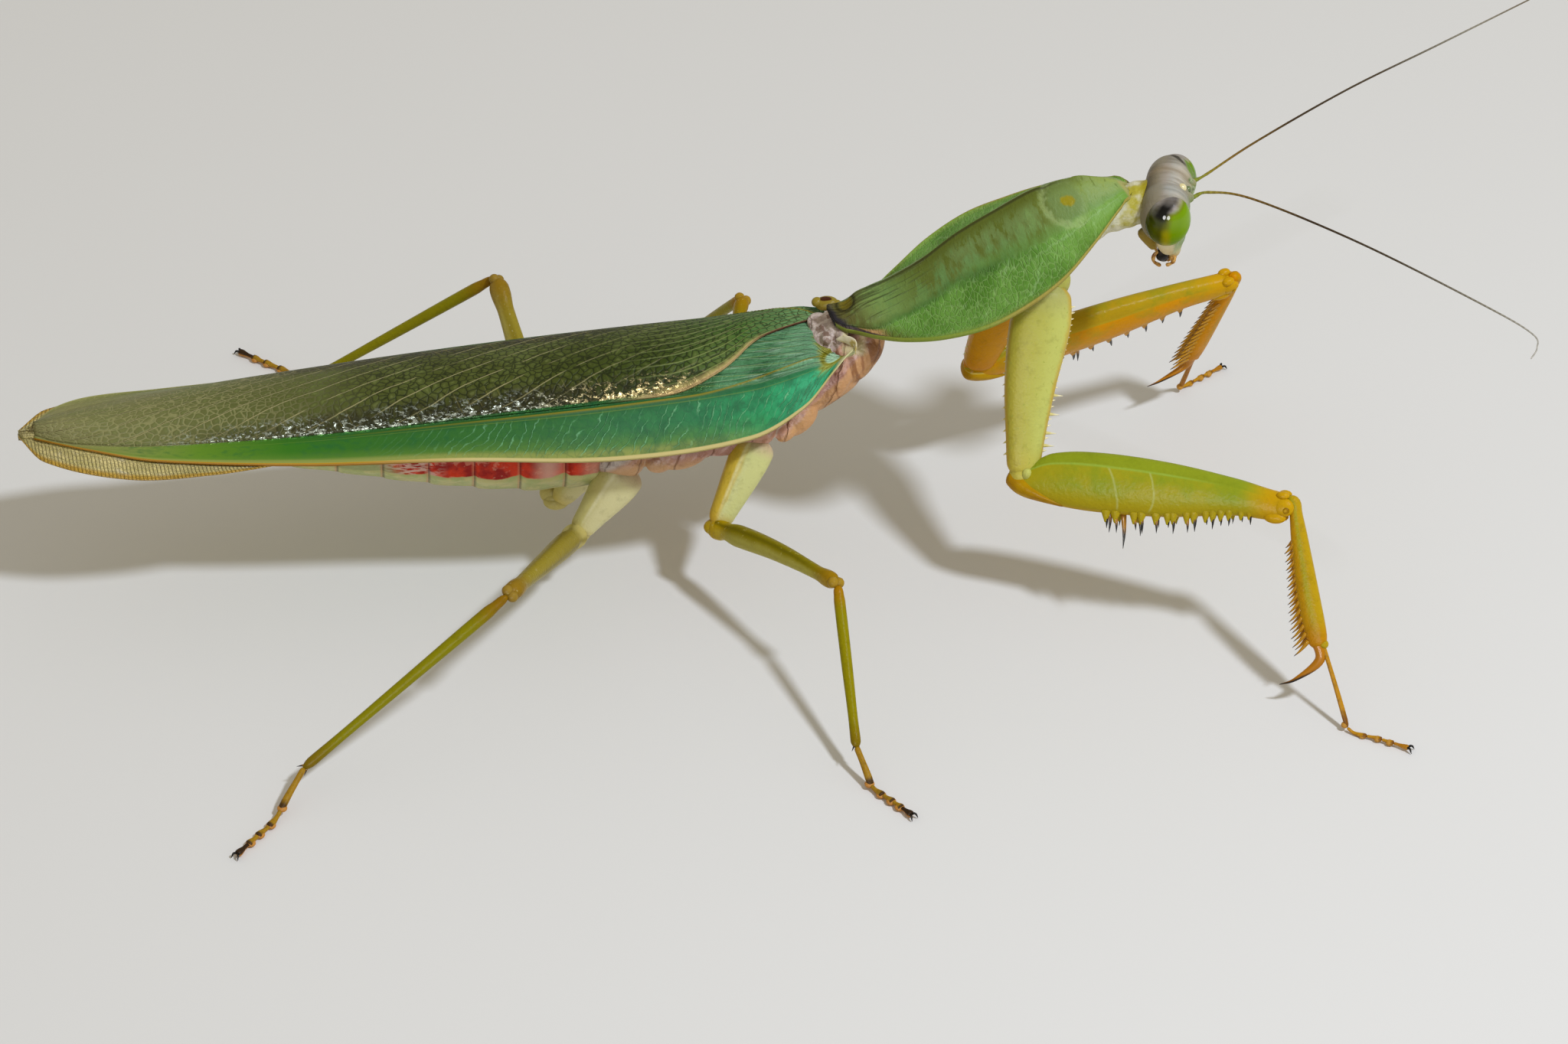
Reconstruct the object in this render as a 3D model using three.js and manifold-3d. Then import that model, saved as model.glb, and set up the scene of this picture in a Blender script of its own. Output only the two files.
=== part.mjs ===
// A shield mantis standing with its forelegs spread, at life size, in millimetres.
// +X runs to the head, +Y to the animal's left and +Z up; the feet stand on z = 0.

import * as THREE from 'three';
import { mergeVertices } from 'three/addons/utils/BufferGeometryUtils.js';
import Module from 'manifold-3d';

const wasm = await Module();
wasm.setup();

// Driving dimensions
const shieldLength = 24.5;
const shieldHalfWidth = 7.15;
const shieldTilt = THREE.MathUtils.degToRad(26.1);
const shieldThickness = 0.7;
const wingRootX = 8.6;
const wingTipX = -51;
const wingThickness = 0.5;
const wingLayerStep = 0.8;
const eyeSpacing = 5.1;
const headYaw = THREE.MathUtils.degToRad(-11.5);
const headPitch = THREE.MathUtils.degToRad(5);
const abdomenFrontX = -9;
const abdomenTipX = -35.6;
const jointGap = 0.18;
const footHeight = 0.22;

const point = (x, y, z) => new THREE.Vector3(x, y, z);

// Where the parts meet, as the animal stands
const shieldRear = point(8.6, 0, 21.2);
const headCentre = point(33.6, 0, 30.4);
const foreRoot = point(24.3, 2.3, 25.2);
const midRoot = point(2.4, 2.6, 12);
const hindRoot = point(-7.4, 2.6, 9.9);

const foreLegs = {
  right: {
    side: -1,
    trochanter: point(22, -8.2, 11.6),
    knee: point(40.6, -16.4, 13.9),
    ankle: point(42.2, -22.2, 5.4),
    claw: point(39.5, -22.4, 1.9),
    foot: point(44.1, -26.1, footHeight),
    toe: point(48.1, -28.6, footHeight),
  },
  left: {
    side: 1,
    trochanter: point(20.4, 6.5, 11.4),
    knee: point(40.7, 10.5, 15.4),
    ankle: point(38.6, 14, 5.8),
    claw: point(35.1, 13.4, 3.5),
    foot: point(38.6, 17.4, footHeight),
    toe: point(42.3, 19.9, footHeight),
  },
};

const midLegs = {
  right: {
    side: -1,
    trochanter: point(-0.7, -5.5, 6.5),
    knee: point(7.1, -17.3, 9.9),
    ankle: point(7.7, -26.9, 2.1),
    foot: point(8.6, -29.3, footHeight),
    toe: point(11.1, -32.6, footHeight),
  },
  left: {
    side: 1,
    trochanter: point(-0.6, 5.3, 6.6),
    knee: point(3.4, 17.7, 11),
    ankle: point(-0.8, 25.4, 2.2),
    foot: point(-2.2, 27.2, footHeight),
    toe: point(-6.1, 27.5, footHeight),
  },
};

const hindLegs = {
  right: {
    side: -1,
    trochanter: point(-11.1, -3.4, 5),
    knee: point(-16.7, -19.4, 12.3),
    ankle: point(-32.3, -25.2, 1.9),
    foot: point(-34.5, -28.9, footHeight),
    toe: point(-37.2, -32.3, footHeight),
  },
  left: {
    side: 1,
    trochanter: point(-12.4, 1.9, 4.1),
    knee: point(-15.8, 16.7, 14.8),
    ankle: point(-31.3, 22, 2.2),
    foot: point(-32.8, 26.4, footHeight),
    toe: point(-36.5, 29.5, footHeight),
  },
};

// Finishes
const finishes = {
  shield: { color: 0x5f9f4a, roughness: 0.45 },
  wing: { color: 0x55683a, roughness: 0.35 },
  hindwing: { color: 0xb9b08c, roughness: 0.4 },
  leg: { color: 0xa7a94a, roughness: 0.45 },
  foreleg: { color: 0xd29a2c, roughness: 0.45 },
  flesh: { color: 0xc99a86, roughness: 0.6 },
  abdomen: { color: 0xb0534a, roughness: 0.4 },
  head: { color: 0x9c9a8e, roughness: 0.5 },
  eye: { color: 0x7a9a2c, roughness: 0.2 },
  feeler: { color: 0x6b4f2a, roughness: 0.6 },
};

const clamp01 = (value) => Math.min(1, Math.max(0, value));
const ease = (value) => value * value * (3 - 2 * value);

// Smooth values at a place, through stations of [place, value, value, ...] in rising order
function between(stations, place) {
  const last = stations.length - 1;
  let index = 0;
  while (index < last - 1 && place > stations[index + 1][0]) {
    index += 1;
  }
  const slope = (low, high, column) => (
    (stations[high][column] - stations[low][column]) / (stations[high][0] - stations[low][0])
  );
  const span = stations[index + 1][0] - stations[index][0];
  const share = clamp01((place - stations[index][0]) / span);
  return stations[index].slice(1).map((start, before) => {
    const column = before + 1;
    const startSlope = span * slope(Math.max(index - 1, 0), index + 1, column);
    const endSlope = span * slope(index, Math.min(index + 2, last), column);
    const rise = stations[index + 1][column] - start;
    const bow = (startSlope - rise) * (1 - share) - (endSlope - rise) * share;
    return start + rise * share + share * (1 - share) * bow;
  });
}

// A closed geometry with its shared corners joined and its faces turned outward
function closed(geometry) {
  const bare = geometry.clone();
  bare.deleteAttribute('normal');
  bare.deleteAttribute('uv');
  const merged = mergeVertices(bare, 1e-4);
  const place = merged.attributes.position;
  const index = merged.index.array;
  const corners = [point(), point(), point()];
  let volume = 0;
  for (let i = 0; i < index.length; i += 3) {
    corners.forEach((corner, k) => corner.fromBufferAttribute(place, index[i + k]));
    volume += corners[0].dot(corners[1].clone().cross(corners[2]));
  }
  if (volume < 0) {
    for (let i = 0; i < index.length; i += 3) {
      [index[i], index[i + 1]] = [index[i + 1], index[i]];
    }
  }
  return merged;
}

// The same shape with every face moved out, to cut a neighbour with clearance
function swollen(geometry, gap) {
  const grown = closed(geometry);
  grown.computeVertexNormals();
  const place = grown.attributes.position;
  const normal = grown.attributes.normal;
  for (let i = 0; i < place.count; i += 1) {
    place.setXYZ(
      i,
      place.getX(i) + normal.getX(i) * gap,
      place.getY(i) + normal.getY(i) * gap,
      place.getZ(i) + normal.getZ(i) * gap,
    );
  }
  grown.deleteAttribute('normal');
  return grown;
}

function solidOf(geometry) {
  const shape = closed(geometry);
  return new wasm.Manifold(new wasm.Mesh({
    numProp: 3,
    vertProperties: new Float32Array(shape.attributes.position.array),
    triVerts: new Uint32Array(shape.index.array),
  }));
}

function geometryOf(solid) {
  const mesh = solid.getMesh();
  const geometry = new THREE.BufferGeometry();
  geometry.setAttribute('position', new THREE.BufferAttribute(mesh.vertProperties, 3));
  geometry.setIndex(new THREE.BufferAttribute(mesh.triVerts, 1));
  return geometry;
}

function joined(...geometries) {
  const solids = geometries.map(solidOf);
  return geometryOf(solids.reduce((whole, next) => whole.add(next)));
}

// Cuts a shape clear of its neighbours and keeps its main body, without any loose slivers
function clearOf(geometry, neighbours) {
  const tools = neighbours.map((neighbour) => solidOf(swollen(neighbour, jointGap)));
  const rest = tools.reduce((left, tool) => left.subtract(tool), solidOf(geometry));
  const bodies = rest.decompose().sort((one, other) => other.volume() - one.volume());
  return geometryOf(bodies[0]);
}

// A rounded length along a path: stations are [share of length, half width, half depth, lift]
function limb({ path, widthAxis, stations, around = 8, along = 9, cap = 0.05 }) {
  const geometry = new THREE.SphereGeometry(1, around, along);
  const place = geometry.attributes.position;
  for (let i = 0; i < place.count; i += 1) {
    const onBall = point().fromBufferAttribute(place, i);
    const share = clamp01((1 - onBall.y) / 2);
    const angle = Math.atan2(onBall.z, onBall.x);
    const fromEnd = Math.min(share, 1 - share);
    const roundOff = fromEnd < cap ? Math.sqrt(clamp01(1 - (1 - fromEnd / cap) ** 2)) : 1;
    const [halfWidth, halfDepth, lift = 0] = between(stations, share);
    const tangent = path.getTangentAt(share);
    const wide = widthAxis.clone().addScaledVector(tangent, -widthAxis.dot(tangent)).normalize();
    const deep = wide.clone().cross(tangent);
    const spot = path.getPointAt(share);
    spot.addScaledVector(wide, halfWidth * roundOff * Math.cos(angle));
    spot.addScaledVector(deep, halfDepth * roundOff * Math.sin(angle) + lift);
    place.setXYZ(i, spot.x, spot.y, spot.z);
  }
  return closed(geometry);
}

const straight = (from, to) => new THREE.LineCurve3(from, to);
const bent = (...points) => new THREE.CatmullRomCurve3(points);

// A sheet of even thickness over a surface given by two shares
function sheet({ surface, lengthSteps, widthSteps, thickness }) {
  const geometry = new THREE.BoxGeometry(1, 1, 1, lengthSteps, widthSteps, 1);
  const place = geometry.attributes.position;
  const step = 0.01;
  for (let i = 0; i < place.count; i += 1) {
    const along = place.getX(i) + 0.5;
    const across = place.getY(i) + 0.5;
    const ahead = surface(Math.min(along + step, 1), across);
    const behind = surface(Math.max(along - step, 0), across);
    const left = surface(along, Math.min(across + step, 1));
    const right = surface(along, Math.max(across - step, 0));
    const normal = ahead.sub(behind).cross(left.sub(right)).normalize();
    const spot = surface(along, across).addScaledVector(normal, place.getZ(i) * thickness);
    place.setXYZ(i, spot.x, spot.y, spot.z);
  }
  return closed(geometry);
}

// A thorn standing on a surface
function thorn(base, direction, length, radius) {
  const geometry = new THREE.ConeGeometry(radius, length, 3);
  geometry.translate(0, length / 2, 0);
  const turn = new THREE.Quaternion().setFromUnitVectors(point(0, 1, 0), direction.clone().normalize());
  geometry.applyQuaternion(turn);
  geometry.translate(base.x, base.y, base.z);
  return geometry;
}

// Shield of the pronotum
const shieldAhead = point(Math.cos(shieldTilt), 0, Math.sin(shieldTilt));
const shieldUp = point(-Math.sin(shieldTilt), 0, Math.cos(shieldTilt));
// Share of length, share of half width, keel, shoulder place as a share, shoulder and edge heights
const shieldOutline = [
  [0, 0.13, 0.6, 0.9, 0.1, 0],
  [0.05, 0.22, 0.85, 0.9, -0.5, -0.9],
  [0.11, 0.35, 0.95, 0.88, -0.9, -1.35],
  [0.2, 0.58, 0.95, 0.6, -0.9, -1.75],
  [0.32, 0.83, 1.2, 0.42, -0.6, -1.8],
  [0.46, 0.98, 1.7, 0.36, -0.1, -1.6],
  [0.6, 0.98, 2.4, 0.44, 0.2, -1.5],
  [0.72, 0.86, 2.6, 0.54, 0.3, -1.5],
  [0.84, 0.6, 1.9, 0.55, 0.2, -1.3],
  [0.94, 0.36, 0.65, 0.6, -0.15, -0.7],
  [1, 0.14, -0.2, 0.6, -0.25, -0.35],
];

function shieldSurface(along, across) {
  const [widthShare, keel, shoulder, shoulderHeight, edge] = between(shieldOutline, along);
  const sideways = 2 * across - 1;
  const out = Math.abs(sideways);
  const onBody = Math.min(out / shoulder, 1);
  const onFlange = clamp01((out - shoulder) / (1 - shoulder));
  const rise = keel + (shoulderHeight - keel) * onBody ** 1.3 + (edge - shoulderHeight) * onFlange;
  return shieldRear.clone()
    .addScaledVector(shieldAhead, along * shieldLength)
    .addScaledVector(shieldUp, rise)
    .add(point(0, sideways * widthShare * shieldHalfWidth, 0));
}

// Folded wings: ridge height and, at each x, fold and margin places on one side
const ridgeHeight = (x) => 18.65 + (x + 8) * 0.088;
const wingSection = [
  [-51, 0.3, 0.15, 0.4, 14.8],
  [-49.5, 1.2, 0.4, 1.6, 15.2],
  [-47, 2, 0.6, 2.7, 15.2],
  [-42, 2.9, 0.8, 3.9, 14.7],
  [-31, 3.8, 0.9, 5.2, 14.4],
  [-20, 4.1, 0.9, 5.9, 14.3],
  [-8, 4.2, 0.9, 6.2, 13.9],
  [2, 3.9, 0.9, 5.5, 14.7],
  [6, 3.5, 0.6, 4.6, 16.7],
  [8.5, 2.9, 0.35, 3.9, 19.4],
  [9.2, 2.7, 0.2, 3.3, 20.3],
];

// Point of the folded wing surface; reach runs 0 on the midline, 1 at the fold, 2 at the margin
function wingPoint(x, reach, outward) {
  const [foldY, foldDrop, marginY, marginZ] = between(wingSection, x);
  const ridge = ridgeHeight(x);
  const far = Math.abs(reach);
  const side = Math.sign(reach);
  if (far <= 1) {
    return point(x, side * foldY * far, ridge - foldDrop * far * far + outward);
  }
  const down = far - 1;
  const foldZ = ridge - foldDrop;
  const y = foldY + (marginY - foldY) * down + outward * ease(down);
  return point(x, side * y, foldZ + (marginZ - foldZ) * down ** 1.15 + outward * (1 - ease(down)));
}

const acrossX = (along) => wingRootX + (wingTipX - wingRootX) * along;
// Inner margin of the upper tegmen: leaves the left root and reaches the right fold
const overlapEdge = [
  [-51, -0.9],
  [-20, -1],
  [-3, -1],
  [-1.2, -0.9],
  [1, -0.6],
  [3.6, -0.15],
  [7.2, 0.2],
  [9.2, 0.35],
];

function upperWing(along, across) {
  const x = acrossX(along);
  const [inner] = between(overlapEdge, x);
  return wingPoint(x, 2 + (inner - 2) * across, wingLayerStep);
}

function lowerWing(along, across) {
  const x = acrossX(along);
  const [upperInner] = between(overlapEdge, x);
  const inner = Math.min(-upperInner, 0.88);
  return wingPoint(x, -2 + (inner + 2) * across, 0);
}

const hindwingTipX = -52.2;
const hindwingEdge = [
  [-52.2, 0.3, 14.9],
  [-50.3, 1.3, 13.4],
  [-44, 2.3, 12.1],
  [-36, 3, 12.6],
  [-28, 4.2, 14.6],
  [2, 4.3, 15.6],
];

// A hindwing folds into a fan below the tegmen: top share, then a side share
function hindwingSurface(side) {
  return (along, across) => {
    const x = 2 + (hindwingTipX - 2) * along;
    const [foldY, foldDrop] = between(wingSection, x);
    const [edgeY, edgeZ] = between(hindwingEdge, x);
    const top = ridgeHeight(x) - wingLayerStep - 0.1;
    const inner = 0.3;
    const outer = Math.max(inner + 0.3, foldY - 0.9);
    const turn = 0.55;
    if (across <= turn) {
      const share = across / turn;
      return point(x, side * (inner + (outer - inner) * share), top - foldDrop * share * share);
    }
    const share = (across - turn) / (1 - turn);
    const y = outer + (edgeY - outer) * share;
    return point(x, side * y, top - foldDrop + (edgeZ - top + foldDrop) * share);
  };
}

const tegmen = { lengthSteps: 13, widthSteps: 6, thickness: wingThickness };
const hindwing = { lengthSteps: 12, widthSteps: 3, thickness: wingThickness };
const shapes = {
  pronotum: sheet({
    surface: shieldSurface,
    lengthSteps: 12,
    widthSteps: 8,
    thickness: shieldThickness,
  }),
  forewing_left: sheet({ surface: upperWing, ...tegmen }),
  forewing_right: sheet({ surface: lowerWing, ...tegmen }),
  hindwing_left: sheet({ surface: hindwingSurface(1), ...hindwing }),
  hindwing_right: sheet({ surface: hindwingSurface(-1), ...hindwing }),
};

// Trunk
const acrossBody = point(0, 1, 0);
shapes.prothorax = limb({
  path: bent(point(10.6, 0, 19.9), point(17, 0, 23.3), point(24, 0, 26.8), point(28.8, 0, 29)),
  widthAxis: acrossBody,
  stations: [[0, 1.4, 1], [0.35, 1.7, 1.4], [0.75, 2.2, 2.2], [1, 1.8, 1.6]],
  around: 10,
  along: 8,
});
shapes.thorax = limb({
  path: bent(point(12.4, 0, 20), point(8, 0, 16.7), point(0, 0, 13.9), point(-8.6, 0, 12.4)),
  widthAxis: acrossBody,
  stations: [[0, 1.6, 1], [0.2, 2.3, 2.4], [0.55, 3.2, 3.9], [0.8, 3.3, 3.9], [1, 2.8, 3.3]],
  around: 12,
  along: 9,
  cap: 0.07,
});
shapes.abdomen = limb({
  path: bent(point(abdomenFrontX, 0, 11.6), point(-20, 0, 11.8), point(abdomenTipX, 0, 12.2)),
  widthAxis: acrossBody,
  stations: [[0, 3, 3.2], [0.2, 3.3, 3.4], [0.45, 3.1, 2.9], [0.8, 1.8, 1.6], [1, 1, 0.8]],
  around: 12,
  along: 10,
  cap: 0.04,
});
for (const [name, side] of [['cercus_left', 1], ['cercus_right', -1]]) {
  shapes[name] = limb({
    path: straight(point(-33.6, side * 1.7, 12.9), point(-38.2, side * 2, 13.4)),
    widthAxis: acrossBody,
    stations: [[0, 0.4, 0.4], [1, 0.28, 0.28]],
    around: 5,
    along: 4,
    cap: 0.1,
  });
}
shapes.neck = limb({
  path: straight(point(29.4, 0, 29.6), point(32.3, 0, 30.4)),
  widthAxis: acrossBody,
  stations: [[0, 1.5, 1.4], [0.5, 1.6, 1.7], [1, 1.2, 1.4]],
  around: 8,
  along: 5,
  cap: 0.1,
});

// Head, made upright round the middle of the eyes and then turned
const headTurn = new THREE.Matrix4()
  .makeTranslation(headCentre.x, headCentre.y, headCentre.z)
  .multiply(new THREE.Matrix4().makeRotationZ(headYaw))
  .multiply(new THREE.Matrix4().makeRotationY(headPitch));
const onHead = (geometry) => geometry.applyMatrix4(headTurn);

const skull = limb({
  path: bent(point(-0.1, 0, 1.9), point(0, 0, 0), point(0.35, 0, -2.6), point(0.9, 0, -5.4)),
  widthAxis: acrossBody,
  stations: [
    [0, 2.2, 1.3],
    [0.25, 2.9, 1.8],
    [0.45, 2.7, 1.85],
    [0.7, 1.75, 1.5],
    [0.9, 1.05, 1],
    [1, 0.7, 0.6],
  ],
  around: 14,
  along: 10,
  cap: 0.12,
});
const antennaSocket = new THREE.SphereGeometry(0.42, 6, 5);
const sockets = [1, -1].map((side) => antennaSocket.clone().translate(1.6, side * 1.05, 0.95));
shapes.head = onHead(joined(skull, ...sockets));

for (const [name, side] of [['eye_left', 1], ['eye_right', -1]]) {
  const eye = new THREE.SphereGeometry(1, 12, 8);
  eye.scale(1.93, 1.5, 2.2);
  eye.rotateX(side * THREE.MathUtils.degToRad(-6));
  eye.translate(0, side * eyeSpacing / 2, 0);
  shapes[name] = onHead(closed(eye));
}

const jaws = new THREE.SphereGeometry(1, 8, 6);
jaws.scale(0.6, 0.75, 0.75);
jaws.translate(0.6, 0, -5.5);
const palp = (...points) => limb({
  path: bent(...points),
  widthAxis: acrossBody,
  stations: [[0, 0.27, 0.27], [1, 0.24, 0.24]],
  around: 4,
  along: 4,
  cap: 0.1,
});
const palps = [1, -1].flatMap((side) => [
  palp(point(0.5, side * 0.4, -5.6), point(-0.3, side * 0.8, -5.75), point(0.1, side * 0.7, -6.4)),
  palp(point(0.7, side * 0.3, -5.5), point(0.9, side * 0.35, -6.1), point(1.3, side * 0.3, -6.3)),
]);
shapes.mouthparts = onHead(joined(jaws, ...palps));

// Feelers: a stiff scape, then a long whip
function antenna(...points) {
  return limb({
    path: bent(...points),
    widthAxis: point(0, 0, 1),
    stations: [[0, 0.3, 0.3], [0.04, 0.3, 0.3], [0.1, 0.26, 0.26], [1, 0.25, 0.25]],
    around: 5,
    along: 19,
    cap: 0.004,
  });
}
shapes.antenna_left = antenna(
  point(35.8, 1.3, 31.1),
  point(36.4, 1.9, 31),
  point(41, 6.2, 30.9),
  point(49.2, 13, 30.7),
  point(57.4, 18.8, 30.6),
  point(67.4, 25.1, 31.1),
);
shapes.antenna_right = antenna(
  point(35.3, -0.9, 31.1),
  point(36.3, -0.8, 31.3),
  point(39.5, -2.1, 31.3),
  point(46.4, -7.8, 30.8),
  point(54.1, -15, 29.8),
  point(56.9, -18, 29.3),
  point(57.1, -18.9, 28.7),
  point(56.6, -19.4, 28.1),
);

// Direction of bending of a segment towards the next joint
function towards(from, joint, next) {
  const line = joint.clone().sub(from).normalize();
  const swing = next.clone().sub(joint);
  return swing.addScaledVector(line, -swing.dot(line)).normalize();
}

// A foot lies along the floor and is planed flat under it
function planed(geometry) {
  const block = new THREE.BoxGeometry(200, 200, 20);
  block.translate(0, 0, 10);
  return geometryOf(solidOf(geometry).intersect(solidOf(block)));
}

function tarsus({ ankle, foot, toe }, radius) {
  const ahead = toe.clone().sub(foot).normalize();
  const heel = foot.clone().addScaledVector(ahead, 0.5);
  const across = point(-ahead.y, ahead.x, 0);
  const upper = limb({
    path: bent(ankle, ankle.clone().lerp(foot, 0.55), foot.clone().add(point(0, 0, 0.15)), heel),
    widthAxis: across,
    stations: [[0, radius, radius], [0.7, radius * 0.9, radius * 0.9], [1, radius * 1.2, radius * 1.2]],
    around: 5,
    along: 5,
  });
  const pads = limb({
    path: straight(foot, toe),
    widthAxis: across,
    stations: [
      [0, radius, radius],
      [0.3, radius * 1.45, radius * 1.25],
      [0.55, radius * 1.05, radius],
      [0.85, radius * 1.5, radius * 1.3],
      [1, radius, radius],
    ],
    around: 6,
    along: 6,
  });
  const claws = [1, -1].map((side) => {
    const out = ahead.clone().addScaledVector(across, side * 0.55).add(point(0, 0, -0.15));
    return thorn(toe.clone().addScaledVector(ahead, -0.1), out, 1.15, 0.26);
  });
  return planed(joined(upper, pads, ...claws));
}

// A row of thorns of alternating size along a segment
function thornRow({ from, to, count, direction, lengths, radius }) {
  return Array.from({ length: count }, (_, number) => {
    const base = from.clone().lerp(to, number / (count - 1));
    return thorn(base, direction, lengths[number % lengths.length], radius);
  });
}

function foreleg(name, leg) {
  const root = foreRoot.clone().multiply(point(1, leg.side, 1));
  const femurLine = leg.knee.clone().sub(leg.trochanter).normalize();
  const ventral = towards(leg.trochanter, leg.knee, leg.ankle);
  const flank = ventral.clone().cross(femurLine).normalize();
  const coxaFront = point(1, 0, 0.15).normalize();

  const coxaBody = limb({
    path: bent(root, root.clone().lerp(leg.trochanter, 0.5).add(point(-0.35, 0, 0)), leg.trochanter),
    widthAxis: coxaFront,
    stations: [[0, 1.7, 1.1], [0.2, 2.2, 1.35], [0.5, 1.9, 1.3], [0.8, 1.45, 1.1], [1, 1.25, 1]],
    around: 8,
    along: 8,
  });
  const coxaThorns = thornRow({
    from: root.clone().lerp(leg.trochanter, 0.62).addScaledVector(coxaFront, 1.35),
    to: root.clone().lerp(leg.trochanter, 0.86).addScaledVector(coxaFront, 1.1),
    count: 3,
    direction: coxaFront.clone().add(point(0, 0, -0.4)),
    lengths: [0.9],
    radius: 0.28,
  });

  const femurStart = leg.trochanter.clone().addScaledVector(femurLine, -0.7).addScaledVector(ventral, 0.3);
  const femurBody = limb({
    path: straight(femurStart, leg.knee.clone().addScaledVector(femurLine, 0.5)),
    widthAxis: flank,
    stations: [
      [0, 0.9, 1.1, 0],
      [0.14, 1.05, 1.95, 0.4],
      [0.3, 1.15, 2.2, 0.45],
      [0.55, 1.1, 2.05, 0.35],
      [0.8, 0.85, 1.3, 0.3],
      [0.92, 0.8, 1.1, -0.1],
      [1, 0.85, 0.9, -0.1],
    ],
    around: 8,
    along: 12,
    cap: 0.05,
  });
  const below = (share, depth, out) => leg.trochanter.clone().lerp(leg.knee, share)
    .addScaledVector(ventral, depth).addScaledVector(flank, out);
  const outerThorns = thornRow({
    from: below(0.33, 1.7, -leg.side * 0.5),
    to: below(0.82, 0.85, -leg.side * 0.4),
    count: 9,
    direction: ventral.clone().addScaledVector(femurLine, 0.12),
    lengths: [1.05, 0.9, 1.2],
    radius: 0.26,
  });
  const innerThorns = thornRow({
    from: below(0.36, 1.7, leg.side * 0.5),
    to: below(0.82, 0.85, leg.side * 0.4),
    count: 8,
    direction: ventral.clone().addScaledVector(femurLine, 0.12),
    lengths: [1, 0.75],
    radius: 0.26,
  });
  const longThorn = thorn(below(0.41, 1.5, 0), ventral, 2.6, 0.34);
  const femur = joined(femurBody, ...outerThorns, ...innerThorns, longThorn);

  const tibiaLine = leg.ankle.clone().sub(leg.knee).normalize();
  const tibiaInner = towards(leg.knee, leg.ankle, leg.claw);
  const tibiaFlank = tibiaInner.clone().cross(tibiaLine).normalize();
  const tibiaStart = leg.knee.clone().addScaledVector(femurLine, 0.35).addScaledVector(tibiaLine, 0.3);
  const tibiaBody = limb({
    path: straight(tibiaStart, leg.ankle.clone().addScaledVector(tibiaLine, 0.4)),
    widthAxis: tibiaFlank,
    stations: [[0, 0.45, 0.5, 0], [0.3, 0.5, 0.6, -0.05], [0.7, 0.6, 0.8, -0.1], [1, 0.5, 0.55, 0]],
    around: 7,
    along: 7,
  });
  const clawRoot = leg.ankle.clone().addScaledVector(tibiaLine, -0.4);
  const hook = limb({
    path: bent(
      clawRoot,
      leg.ankle.clone().addScaledVector(tibiaLine, 1.2).addScaledVector(tibiaInner, 0.1),
      leg.ankle.clone().lerp(leg.claw, 0.62).addScaledVector(tibiaLine, 0.75),
      leg.claw,
    ),
    widthAxis: tibiaFlank,
    stations: [[0, 0.45, 0.5], [0.35, 0.4, 0.5], [0.75, 0.28, 0.3], [1, 0.12, 0.12]],
    around: 6,
    along: 7,
  });
  const tibiaThorns = thornRow({
    from: tibiaStart.clone().lerp(leg.ankle, 0.16).addScaledVector(tibiaInner, 0.3),
    to: tibiaStart.clone().lerp(leg.ankle, 0.95).addScaledVector(tibiaInner, 0.45),
    count: 9,
    direction: tibiaInner.clone().addScaledVector(tibiaLine, 0.75),
    lengths: [0.85, 0.95, 1.05],
    radius: 0.25,
  });
  const tibia = joined(tibiaBody, hook, ...tibiaThorns);

  const outerAnkle = leg.ankle.clone().addScaledVector(tibiaInner, -0.35).addScaledVector(tibiaLine, -0.2);
  const foot = tarsus({ ...leg, ankle: outerAnkle }, 0.27);
  shapes[`${name}_coxa`] = clearOf(joined(coxaBody, ...coxaThorns), [femur]);
  shapes[`${name}_femur`] = clearOf(femur, [tibia]);
  shapes[`${name}_tibia`] = tibia;
  shapes[`${name}_tarsus`] = clearOf(foot, [tibia]);
}

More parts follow.
